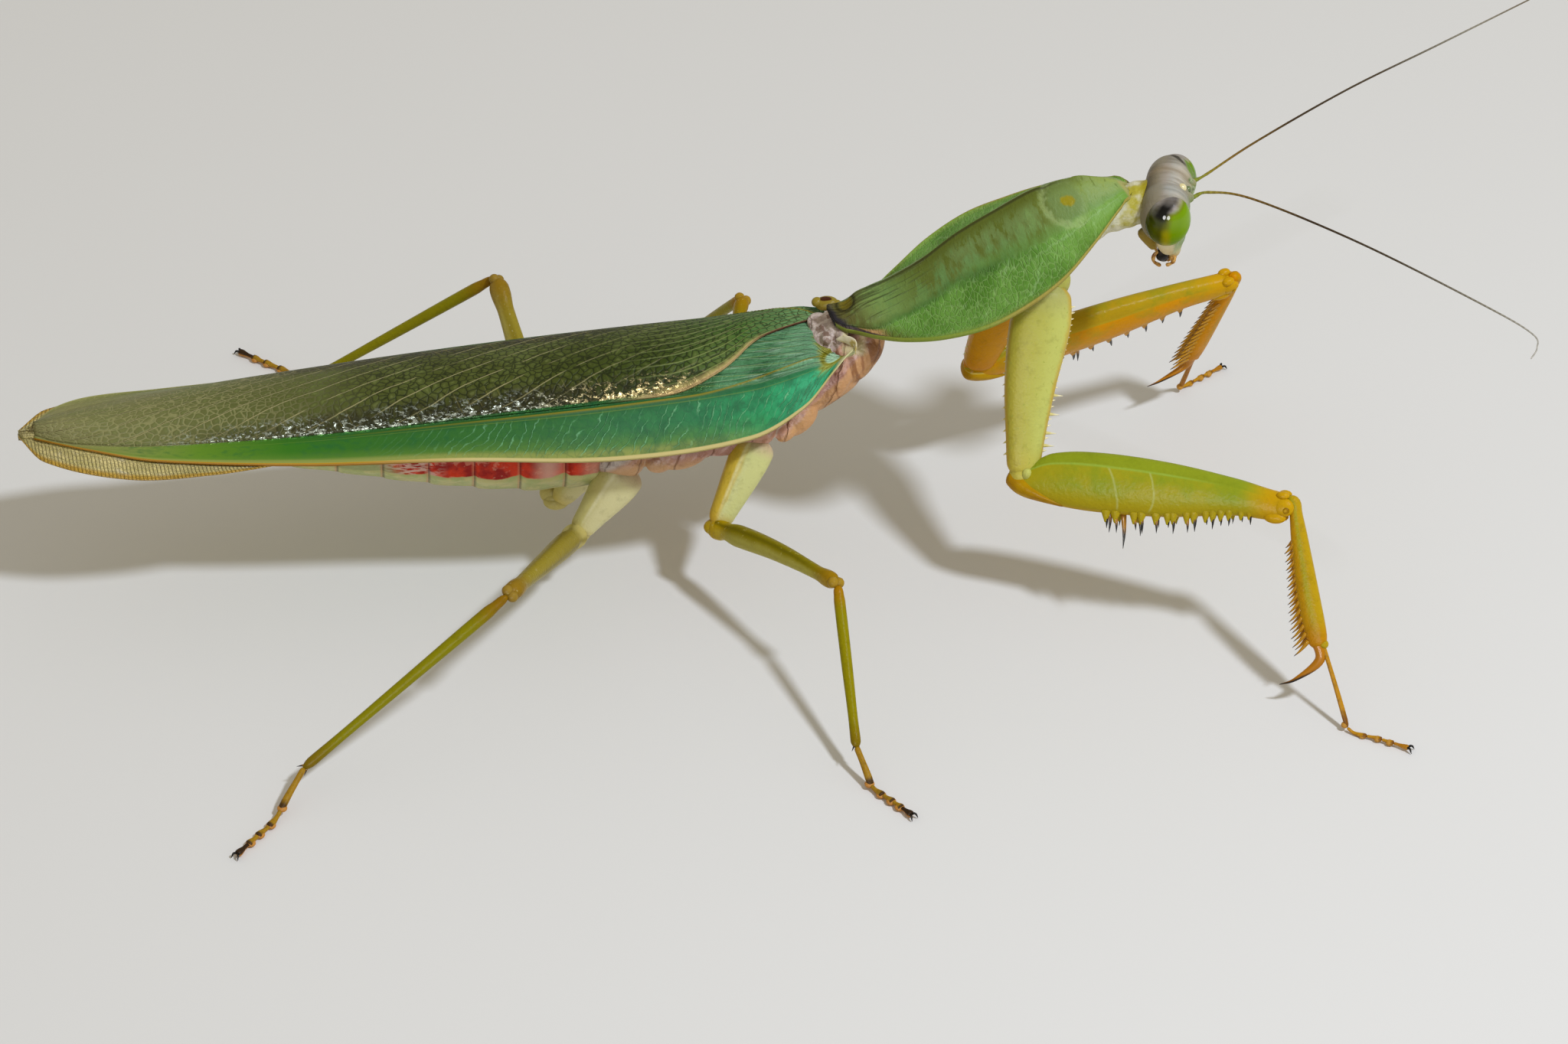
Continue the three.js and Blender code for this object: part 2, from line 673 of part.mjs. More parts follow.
// Walking legs share one build; sizes are half widths along the leg
function walkingLeg(name, leg, bodyRoot, sizes) {
  const root = bodyRoot.clone().multiply(point(1, leg.side, 1));
  const flat = point(1, 0, 0);
  const femurLine = leg.knee.clone().sub(leg.trochanter).normalize();
  const tibiaLine = leg.ankle.clone().sub(leg.knee).normalize();
  const bend = towards(leg.trochanter, leg.knee, leg.ankle);
  const flank = bend.clone().cross(femurLine).normalize();
  const coxa = limb({
    path: straight(root, leg.trochanter),
    widthAxis: flat,
    stations: [[0, sizes.coxa, 1.2], [0.35, sizes.coxa * 0.95, 1.2], [0.8, 0.95, 0.95], [1, 0.85, 0.85]],
    along: 7,
  });
  const trochanter = leg.trochanter.clone().addScaledVector(femurLine, -0.2);
  const femur = limb({
    path: bent(
      trochanter,
      leg.trochanter.clone().lerp(leg.knee, 0.5).addScaledVector(bend, -0.3),
      leg.knee.clone().addScaledVector(femurLine, 0.2),
    ),
    widthAxis: flank,
    stations: [
      [0, 0.75, 0.8],
      [0.1, 0.65, 0.7],
      [0.2, 0.75, 0.85],
      [0.55, 0.65, 0.72],
      [0.85, 0.5, 0.55],
      [0.94, 0.6, 0.68],
      [1, 0.55, 0.6],
    ],
    around: 7,
    along: 10,
    cap: 0.05,
  });
  const tibiaStart = leg.knee.clone().addScaledVector(tibiaLine, 0.25).addScaledVector(femurLine, 0.25);
  const shin = limb({
    path: straight(tibiaStart, leg.ankle),
    widthAxis: flank,
    stations: [[0, 0.42, 0.42], [0.1, sizes.tibia, sizes.tibia], [0.8, 0.31, 0.31], [1, 0.38, 0.38]],
    around: 6,
    along: 7,
    cap: 0.05,
  });
  const spurs = [1, -1].map((side) => thorn(
    leg.ankle.clone().addScaledVector(tibiaLine, -0.3),
    tibiaLine.clone().addScaledVector(flank, side * 0.8).addScaledVector(bend, 0.3),
    0.95,
    0.22,
  ));
  const tibia = joined(shin, ...spurs);
  const insideShin = leg.ankle.clone().addScaledVector(tibiaLine, -0.45);
  const foot = tarsus({ ...leg, ankle: insideShin }, 0.26);
  shapes[`${name}_coxa`] = clearOf(coxa, [femur]);
  shapes[`${name}_femur`] = clearOf(femur, [tibia]);
  shapes[`${name}_tibia`] = tibia;
  shapes[`${name}_tarsus`] = clearOf(foot, [tibia]);
}

for (const side of ['left', 'right']) {
  foreleg(`foreleg_${side}`, foreLegs[side]);
  walkingLeg(`midleg_${side}`, midLegs[side], midRoot, { coxa: 1.5, tibia: 0.36 });
  walkingLeg(`hindleg_${side}`, hindLegs[side], hindRoot, { coxa: 1.35, tibia: 0.42 });
}

// Neighbours that would meet are cut clear of each other
const coxae = (kind) => [shapes[`${kind}_left_coxa`], shapes[`${kind}_right_coxa`]];
const wings = ['forewing_left', 'forewing_right', 'hindwing_left', 'hindwing_right']
  .map((name) => shapes[name]);
shapes.mouthparts = clearOf(shapes.mouthparts, [shapes.head]);
shapes.head = clearOf(shapes.head, [
  shapes.eye_left,
  shapes.eye_right,
  shapes.antenna_left,
  shapes.antenna_right,
]);
shapes.neck = clearOf(shapes.neck, [
  shapes.head,
  shapes.eye_left,
  shapes.eye_right,
  shapes.pronotum,
  shapes.prothorax,
]);
shapes.prothorax = clearOf(shapes.prothorax, [shapes.pronotum, ...coxae('foreleg')]);
shapes.thorax = clearOf(shapes.thorax, [
  shapes.pronotum,
  shapes.prothorax,
  shapes.abdomen,
  ...coxae('midleg'),
  ...coxae('hindleg'),
  ...wings,
]);
shapes.abdomen = clearOf(shapes.abdomen, [shapes.cercus_left, shapes.cercus_right, ...coxae('hindleg')]);

const finishOf = {
  pronotum: finishes.shield,
  forewing_left: finishes.wing,
  forewing_right: finishes.wing,
  hindwing_left: finishes.hindwing,
  hindwing_right: finishes.hindwing,
  thorax: finishes.flesh,
  prothorax: finishes.leg,
  abdomen: finishes.abdomen,
  head: finishes.head,
  eye_left: finishes.eye,
  eye_right: finishes.eye,
  antenna_left: finishes.feeler,
  antenna_right: finishes.feeler,
  mouthparts: finishes.foreleg,
  foreleg_left_femur: finishes.foreleg,
  foreleg_left_coxa: finishes.foreleg,
  foreleg_left_tibia: finishes.foreleg,
  foreleg_right_tibia: finishes.foreleg,
};

const mantis = new THREE.Group();
for (const [name, geometry] of Object.entries(shapes)) {
  const finish = finishOf[name] ?? finishes.leg;
  const material = new THREE.MeshStandardMaterial({ ...finish, metalness: 0 });
  const mesh = new THREE.Mesh(geometry, material);
  mesh.name = name;
  mantis.add(mesh);
}

// The origin is under the middle of the whole animal
const box = new THREE.Box3().setFromObject(mantis);
const middle = box.getCenter(point());
mantis.position.set(-middle.x, -middle.y, -box.min.z);

export default mantis;
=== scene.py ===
import math
import random
import bpy
import bmesh
from mathutils import Matrix, Vector


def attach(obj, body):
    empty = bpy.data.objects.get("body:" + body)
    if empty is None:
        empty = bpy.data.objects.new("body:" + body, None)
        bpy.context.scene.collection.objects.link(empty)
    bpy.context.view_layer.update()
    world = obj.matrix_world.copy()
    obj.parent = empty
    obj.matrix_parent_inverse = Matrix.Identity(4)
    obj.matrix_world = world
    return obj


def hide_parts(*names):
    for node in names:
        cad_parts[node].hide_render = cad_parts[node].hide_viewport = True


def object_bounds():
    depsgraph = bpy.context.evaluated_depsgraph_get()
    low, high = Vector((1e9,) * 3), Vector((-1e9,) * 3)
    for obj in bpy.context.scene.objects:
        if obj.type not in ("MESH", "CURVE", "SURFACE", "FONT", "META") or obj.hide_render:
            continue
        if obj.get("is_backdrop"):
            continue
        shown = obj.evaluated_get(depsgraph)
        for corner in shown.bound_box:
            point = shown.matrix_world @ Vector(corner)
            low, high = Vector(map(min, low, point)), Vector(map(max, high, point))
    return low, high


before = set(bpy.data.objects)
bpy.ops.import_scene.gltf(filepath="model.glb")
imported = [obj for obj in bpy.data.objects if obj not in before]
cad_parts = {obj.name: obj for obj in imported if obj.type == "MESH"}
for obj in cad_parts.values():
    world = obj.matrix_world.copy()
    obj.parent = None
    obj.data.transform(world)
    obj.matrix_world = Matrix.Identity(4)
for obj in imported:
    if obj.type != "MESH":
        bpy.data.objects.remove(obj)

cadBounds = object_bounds()
random.seed(7)

# Everything is shaped in millimetres round the animal's own middle, then set in the frame
placing = {"middle": (7.5586, -1.5749, 0.0), "millimetre": 0.001}
toFrame = Matrix.Scale(placing["millimetre"], 4) @ Matrix.Translation(-Vector(placing["middle"]))


def clamp(value):
    return max(0.0, min(1.0, value))


def ease(value):
    value = clamp(value)
    return value * value * (3 - 2 * value)


def bump(value, middle, width):
    return math.exp(-((value - middle) / width) ** 2)


def between(stations, place):  # smooth values at a place, through rows of place and values
    last = len(stations) - 1
    index = 0
    while index < last - 1 and place > stations[index + 1][0]:
        index += 1
    span = stations[index + 1][0] - stations[index][0]
    share = clamp((place - stations[index][0]) / span)
    low, high = max(index - 1, 0), min(index + 2, last)
    values = []
    for column in range(1, len(stations[0])):
        start, end = stations[index][column], stations[index + 1][column]
        startSlope = span * (end - stations[low][column]) / (stations[index + 1][0] - stations[low][0])
        endSlope = span * (stations[high][column] - start) / (stations[high][0] - stations[index][0])
        rise = end - start
        bow = (startSlope - rise) * (1 - share) - (endSlope - rise) * share
        values.append(start + rise * share + share * (1 - share) * bow)
    return values


class Course:  # a smooth line through points, measured by its length
    def __init__(self, points, steps=20):
        points = [Vector(point) for point in points]
        ends = [points[0] * 2 - points[1]] + points + [points[-1] * 2 - points[-2]]
        self.spots = [points[0]]
        for index in range(1, len(ends) - 2):
            before, start, end, after = ends[index - 1:index + 3]
            for step in range(1, steps + 1):
                t = step / steps
                self.spots.append(0.5 * (2 * start + (end - before) * t
                                         + (2 * before - 5 * start + 4 * end - after) * t * t
                                         + (3 * start - before - 3 * end + after) * t ** 3))
        self.lengths = [0.0]
        for one, other in zip(self.spots, self.spots[1:]):
            self.lengths.append(self.lengths[-1] + (other - one).length)

    def find(self, share):
        wanted = clamp(share) * self.lengths[-1]
        low, high = 0, len(self.lengths) - 1
        while high - low > 1:
            middle = (low + high) // 2
            if self.lengths[middle] <= wanted:
                low = middle
            else:
                high = middle
        part = (wanted - self.lengths[low]) / max(self.lengths[low + 1] - self.lengths[low], 1e-9)
        return low, clamp(part)

    def spot(self, share):
        low, part = self.find(share)
        return self.spots[low].lerp(self.spots[low + 1], part)

    def heading(self, share):
        ahead, behind = self.spot(min(share + 0.015, 1)), self.spot(max(share - 0.015, 0))
        return (ahead - behind).normalized()


def turned(degrees, axis):
    return Matrix.Rotation(math.radians(degrees), 4, axis)


def newShape():
    shape = bmesh.new()
    shape.verts.layers.float_vector.new("local")
    return shape


def unitBall(shape, around, along, finish):
    made = bmesh.ops.create_uvsphere(shape, u_segments=around, v_segments=along, radius=1)["verts"]
    for face in {face for vert in made for face in vert.link_faces}:
        face.material_index = finish
    return made


# A rounded length along a course: stations are share of length, half width, half depth and lift,
# with the depth left out where it equals the width. Its local value holds the share, how far it
# faces the belly side, and how far the wide side.
def limb(shape, points, wide, stations, around=24, along=32, cap=0.05, belly=None, square=2.0,
         finish=0, form=None, mark=None):
    course = Course(points)
    local = shape.verts.layers.float_vector["local"]
    made = unitBall(shape, around, along, finish)
    wide = Vector(wide)
    for vert in made:
        share = clamp((1 - vert.co.z) / 2)
        angle = math.atan2(vert.co.y, vert.co.x)
        fromEnd = min(share, 1 - share)
        roundOff = math.sqrt(clamp(1 - (1 - fromEnd / cap) ** 2)) if fromEnd < cap else 1
        row = between(stations, share)
        half, depth, lift = row if len(row) == 3 else (row[0], row[-1], 0)
        heading = course.heading(share)
        across = (wide - heading * wide.dot(heading)).normalized()
        deep = across.cross(heading)
        sideways = math.copysign(abs(math.cos(angle)) ** (2 / square), math.cos(angle))
        upright = math.copysign(abs(math.sin(angle)) ** (2 / square), math.sin(angle))
        offset = across * half * roundOff * sideways + deep * (depth * roundOff * upright + lift)
        outward = (across * math.cos(angle) + deep * math.sin(angle)).normalized()
        if form:
            offset *= form(share, angle)
        vert.co = course.spot(share) + offset
        facing = outward.dot(Vector(belly)) if belly is not None else -outward.z
        vert[local] = mark if mark is not None else (share, facing, outward.dot(across))
    return made


def ball(shape, middle, sizes, turn=None, around=20, along=14, finish=0, mark=(0, 0, 0)):
    local = shape.verts.layers.float_vector["local"]
    made = unitBall(shape, around, along, finish)
    place = Matrix.Translation(Vector(middle)) @ (turn or Matrix()) @ Matrix.Diagonal((*sizes, 1))
    for vert in made:
        vert[local] = mark if mark != "unit" else vert.co
        vert.co = place @ vert.co
    return made


# A spine that bows a little and thins to its point, local value from 0 at its root to 1 at its tip
def spine(shape, base, direction, length, radius, bow=(0, 0, 0), sides=8, shade=1.0):
    direction = Vector(direction).normalized()
    base = Vector(base)
    tip = base + direction * length
    middle = base.lerp(tip, 0.5) + Vector(bow) * length
    side = direction.orthogonal()
    local = shape.verts.layers.float_vector["local"]
    stations = [[share, radius * thick] for share, thick in ((0, 1), (0.35, 0.72), (0.75, 0.33), (1, 0.05))]
    made = limb(shape, [base - direction * radius, middle, tip], side, stations, sides, 8, 0.02, finish=1)
    for vert in made:
        vert[local] = (vert[local][0], shade, 0)


# A sheet over a surface given by two shares, with real thickness and local values from mark
def sheet(shape, surface, lengthSteps, widthSteps, thickness, mark):
    local = shape.verts.layers.float_vector["local"]
    made = bmesh.ops.create_grid(shape, x_segments=lengthSteps, y_segments=widthSteps, size=0.5)["verts"]
    for vert in made:
        along, across = clamp(vert.co.x + 0.5), clamp(vert.co.y + 0.5)
        vert[local] = mark(along, across)
        vert.co = surface(along, across)
    faces = list({face for vert in made for face in vert.link_faces})
    bmesh.ops.solidify(shape, geom=faces, thickness=thickness)
    bmesh.ops.recalc_face_normals(shape, faces=shape.faces)


def setPiece(name, shape, nodes, finishes):
    bmesh.ops.transform(shape, matrix=toFrame, verts=shape.verts)
    mesh = bpy.data.meshes.new(name)
    shape.to_mesh(mesh)
    shape.free()
    mesh.polygons.foreach_set("use_smooth", [True] * len(mesh.polygons))
    piece = bpy.data.objects.new(name, mesh)
    bpy.context.collection.objects.link(piece)
    for finish in finishes:
        mesh.materials.append(finish)
    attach(piece, "root")
    if nodes:
        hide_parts(*nodes)


# Joins the closed forms of a shape into one skin, smooths it, and marks each point again
def fuse(shape, voxel, smoothing, mark):
    mesh = bpy.data.meshes.new("fusing")
    shape.to_mesh(mesh)
    shape.free()
    carrier = bpy.data.objects.new("fusing", mesh)
    bpy.context.collection.objects.link(carrier)
    remesh = carrier.modifiers.new("remesh", "REMESH")
    remesh.mode = "VOXEL"
    remesh.voxel_size = voxel
    soften = carrier.modifiers.new("soften", "SMOOTH")
    soften.factor = 0.5
    soften.iterations = smoothing
    fused = bmesh.new()
    fused.from_object(carrier, bpy.context.evaluated_depsgraph_get())
    bpy.data.objects.remove(carrier)
    layer = fused.verts.layers.float_vector.new("local")
    for vert in fused.verts:
        vert[layer] = mark(vert.co)
    return fused


def tone(code):  # a colour code as the straight values that shaders take
    def straight(value):
        value = int(value, 16) / 255
        return value / 12.92 if value <= 0.04045 else ((value + 0.055) / 1.055) ** 2.4
    return (straight(code[0:2]), straight(code[2:4]), straight(code[4:6]), 1.0)


class Wire:  # a socket that takes part in sums
    def __init__(self, maker, socket):
        self.maker, self.socket = maker, socket

    def size(self):
        return self.maker.sum("ABSOLUTE", self)


for sign, operation in (("add", "ADD"), ("sub", "SUBTRACT"), ("mul", "MULTIPLY"), ("truediv", "DIVIDE"),
                        ("pow", "POWER")):
    setattr(Wire, f"__{sign}__", lambda self, other, kind=operation: self.maker.sum(kind, self, other))
    setattr(Wire, f"__r{sign}__", lambda self, other, kind=operation: self.maker.sum(kind, other, self))


class Finish:  # one material and the few ways its nodes are made
    def __init__(self, name, roughness=0.35, bodyLight=0.0, coat=0.0, specular=0.12, coatRoughness=0.1):
        self.material = bpy.data.materials.new(name)
        self.material.use_nodes = True
        self.tree = self.material.node_tree
        self.tree.nodes.clear()
        self.shader = self.tree.nodes.new("ShaderNodeBsdfPrincipled")
        output = self.tree.nodes.new("ShaderNodeOutputMaterial")
        self.tree.links.new(self.shader.outputs[0], output.inputs[0])
        settings = {"Roughness": roughness, "Specular IOR Level": specular}
        if bodyLight:
            settings.update({"Subsurface Weight": bodyLight, "Subsurface Scale": 0.0008,
                             "Subsurface Radius": (1.0, 0.8, 0.4)})
        if coat:
            settings.update({"Coat Weight": coat, "Coat Roughness": coatRoughness})
        for key, value in settings.items():
            self.shader.inputs[key].default_value = value

    def node(self, kind, settings=None, sockets=None, out=0):
        made = self.tree.nodes.new(kind)
        for key, value in (settings or {}).items():
            if key == "stops":
                ramp = made.color_ramp
                while len(ramp.elements) > 1:
                    ramp.elements.remove(ramp.elements[-1])
                ramp.elements[0].position, ramp.elements[0].color = value[0]
                for place, colour in value[1:]:
                    ramp.elements.new(place).color = colour
            else:
                setattr(made, key, value)
        for key, value in (sockets or {}).items():
            if isinstance(value, Wire):
                self.tree.links.new(value.socket, made.inputs[key])
            else:
                made.inputs[key].default_value = value
        return Wire(self, made.outputs[out])

    def sum(self, operation, *parts):
        return self.node("ShaderNodeMath", {"operation": operation}, dict(enumerate(parts)))

    def local(self):
        spot = self.node("ShaderNodeAttribute", {"attribute_name": "local"}, out=1)
        return [self.node("ShaderNodeSeparateXYZ", None, {0: spot}, out=index) for index in range(3)]

    def place(self, scale=1000.0):  # by default in millimetres
        spot = self.node("ShaderNodeTexCoord", out=3)
        return self.node("ShaderNodeVectorMath", {"operation": "SCALE"}, {0: spot, "Scale": scale})

    def joined(self, x, y, z=0.0):
        return self.node("ShaderNodeCombineXYZ", None, {0: x, 1: y, 2: z})

    def noise(self, scale, detail=2.0, at=None, roughness=0.5):  # at: a wire, or two or three to join
        at = self.joined(*at) if isinstance(at, tuple) else at or self.place()
        return self.node("ShaderNodeTexNoise", None, {"Vector": at, "Scale": scale, "Detail": detail,
                                                      "Roughness": roughness})

    def cells(self, scale, at, feature="DISTANCE_TO_EDGE"):
        return self.node("ShaderNodeTexVoronoi", {"feature": feature}, {"Vector": at, "Scale": scale})

    def bent(self, at, scale, amount):  # a place joined from wires, pushed about a little
        at = self.joined(*at)
        push = self.node("ShaderNodeTexNoise", None, {"Vector": at, "Scale": scale, "Detail": 2.0}, out=1)
        push = self.node("ShaderNodeVectorMath", {"operation": "SCALE"}, {0: push, "Scale": amount})
        return self.node("ShaderNodeVectorMath", {"operation": "ADD"}, {0: at, 1: push})

    def rise(self, value, low, high):  # 0 up to low, 1 beyond high
        return self.node("ShaderNodeMapRange", {"interpolation_type": "SMOOTHSTEP"},
                         {0: value, 1: low, 2: high, 3: 0.0, 4: 1.0})

    def band(self, value, middle, width):  # 1 on the middle and 0 a width away
        return self.rise((value - middle).size(), width, 0.0)

    def lines(self, value, spacing, width):  # 1 on lines a spacing apart
        return self.rise(self.sum("PINGPONG", value, spacing / 2), width, 0.0)

    def disc(self, x, y, wide, high):  # how far from the middle of an oval, 1 on its edge
        return (x / wide * (x / wide) + y / high * (y / high)) ** 0.5

    def blend(self, share, *colours):  # between two colours, each a wire or a code
        low, high = [tone(colour) if isinstance(colour, str) else colour for colour in colours]
        return self.node("ShaderNodeMix", {"data_type": "RGBA"}, {0: share, 6: low, 7: high}, out=2)

    # Lays colours over one another: each layer is its masks, then its colour. A mask is a wire, a
    # number, or what rise takes.
    def over(self, colour, *layers):
        for *masks, high in layers:
            first, *rest = [self.rise(*mask) if isinstance(mask, tuple) else mask for mask in masks]
            colour = self.blend(math.prod(rest, start=first), colour, high)
        return colour

    def ramp(self, value, *stops):
        return self.node("ShaderNodeValToRGB", {"stops": [(place, tone(code)) for place, code in stops]},
                         {0: value})

    def feed(self, name, value):  # into one of the shader's own sockets
        self.tree.links.new(value.socket, self.shader.inputs[name])

    def finished(self, colour, height=None, depth=0.0):  # relief is in millimetres
        self.feed("Base Color", colour)
        if height:
            sockets = {"Height": height, "Distance": depth * placing["millimetre"]}
            self.feed("Normal", self.node("ShaderNodeBump", None, sockets))
        return self.material


print("shapes and shaders ready")

# Shield: a keeled body with broad leaf-like flanges, in shares of its length
shield = {
    "rear": (8.6, 0, 21.2), "length": 24.5, "halfWidth": 7.15, "tilt": 26.1, "thickness": 0.35,
    "outline": [  # share, width share, keel, shoulder share, shoulder height, edge height
        [0, 0.2, 0.75, 0.9, 0.1, -0.2], [0.05, 0.25, 0.85, 0.9, -0.5, -0.95],
        [0.11, 0.4, 0.9, 0.85, -0.9, -1.45], [0.2, 0.64, 0.8, 0.58, -0.9, -1.65],
        [0.32, 0.89, 1.1, 0.42, -0.6, -1.62], [0.46, 1.03, 1.95, 0.36, -0.1, -1.62],
        [0.6, 0.98, 2.38, 0.44, 0.2, -1.6], [0.72, 0.845, 2.62, 0.54, 0.3, -1.38],
        [0.84, 0.585, 2.22, 0.55, 0.3, -0.9], [0.94, 0.315, 1.2, 0.6, 0.05, -0.5],
        [1, 0.2, 0.35, 0.6, -0.1, -0.25]],
    "flangeDip": 0.28, "keelLine": (0.2, 0.2), "margin": (0.12, 0.03),  # each height and spread
    "grooveMiddle": (0.797, 1.25), "grooveRadius": 1.5, "groove": (0.14, 0.22),
    # place along, height, spread along and across
    "hollow": (0.056, -0.35, 0.028, 0.6), "rearRim": (0.006, 0.13, 0.01, 1.2),
    "rollFrom": 0.965, "roll": 0.4, "noseFrom": 0.84, "nose": 0.75, "rootWidth": 0.45,
}


def shieldPoint(along, side):
    tilt = math.radians(shield["tilt"])
    ahead, up = Vector((math.cos(tilt), 0, math.sin(tilt))), Vector((-math.sin(tilt), 0, math.cos(tilt)))
    width, keel, shoulder, shoulderHeight, edge = between(shield["outline"], along)
    out = abs(side)
    across = out * width * shield["halfWidth"]
    onBody = min(out / shoulder, 1)
    onFlange = clamp((out - shoulder) / (1 - shoulder))
    rise = keel + (shoulderHeight - keel) * onBody ** 1.45 + (edge - shoulderHeight) * onFlange
    rise -= shield["flangeDip"] * math.sin(math.pi * onFlange) * ease((along - 0.1) / 0.2)
    height, spread = shield["keelLine"]
    rise += height * bump(across, 0, spread) * ease((0.97 - along) / 0.1)
    middle, inner = shield["grooveMiddle"]
    depth, spread = shield["groove"]
    ring = math.hypot((along - middle) * shield["length"], across - inner)
    onRing = bump(ring, shield["grooveRadius"], spread)
    rise -= depth * onRing * ease((0.87 - along) / 0.05) * (1 - onFlange)
    for place, height, spread, breadth in (shield["hollow"], shield["rearRim"]):
        rise += height * bump(along, place, spread) * bump(across, 0, breadth)
    height, spread = shield["margin"]
    rise += height * bump(out, 1, spread) * ease((0.95 - along) / 0.1)
    rise -= shield["roll"] * ease((along - shield["rollFrom"]) / (1 - shield["rollFrom"])) ** 2  # front end
    roundEnd = math.sqrt(clamp(along / 0.03)) if along < 0.03 else 1
    roundEnd *= math.sqrt(clamp((1 - along) / 0.04)) if along > 0.96 else 1
    nose = shield["nose"] * ease((along - shield["noseFrom"]) / (1 - shield["noseFrom"])) * (1 - 0.55 * out)
    narrow = shield["rootWidth"] + (1 - shield["rootWidth"]) * roundEnd
    return (Vector(shield["rear"]) + ahead * (along * shield["length"] - nose) + up * rise
            + Vector((0, side * width * shield["halfWidth"] * narrow, 0)))


def shieldMark(along, across):  # share of length, millimetres sideways, 0 keel to 1 crease to 2 margin
    side = 2 * across - 1
    width, _, shoulder = between(shield["outline"], along)[:3]
    out = abs(side)
    fold = out / shoulder if out < shoulder else 1 + (out - shoulder) / (1 - shoulder)
    return (along, side * width * shield["halfWidth"], fold)


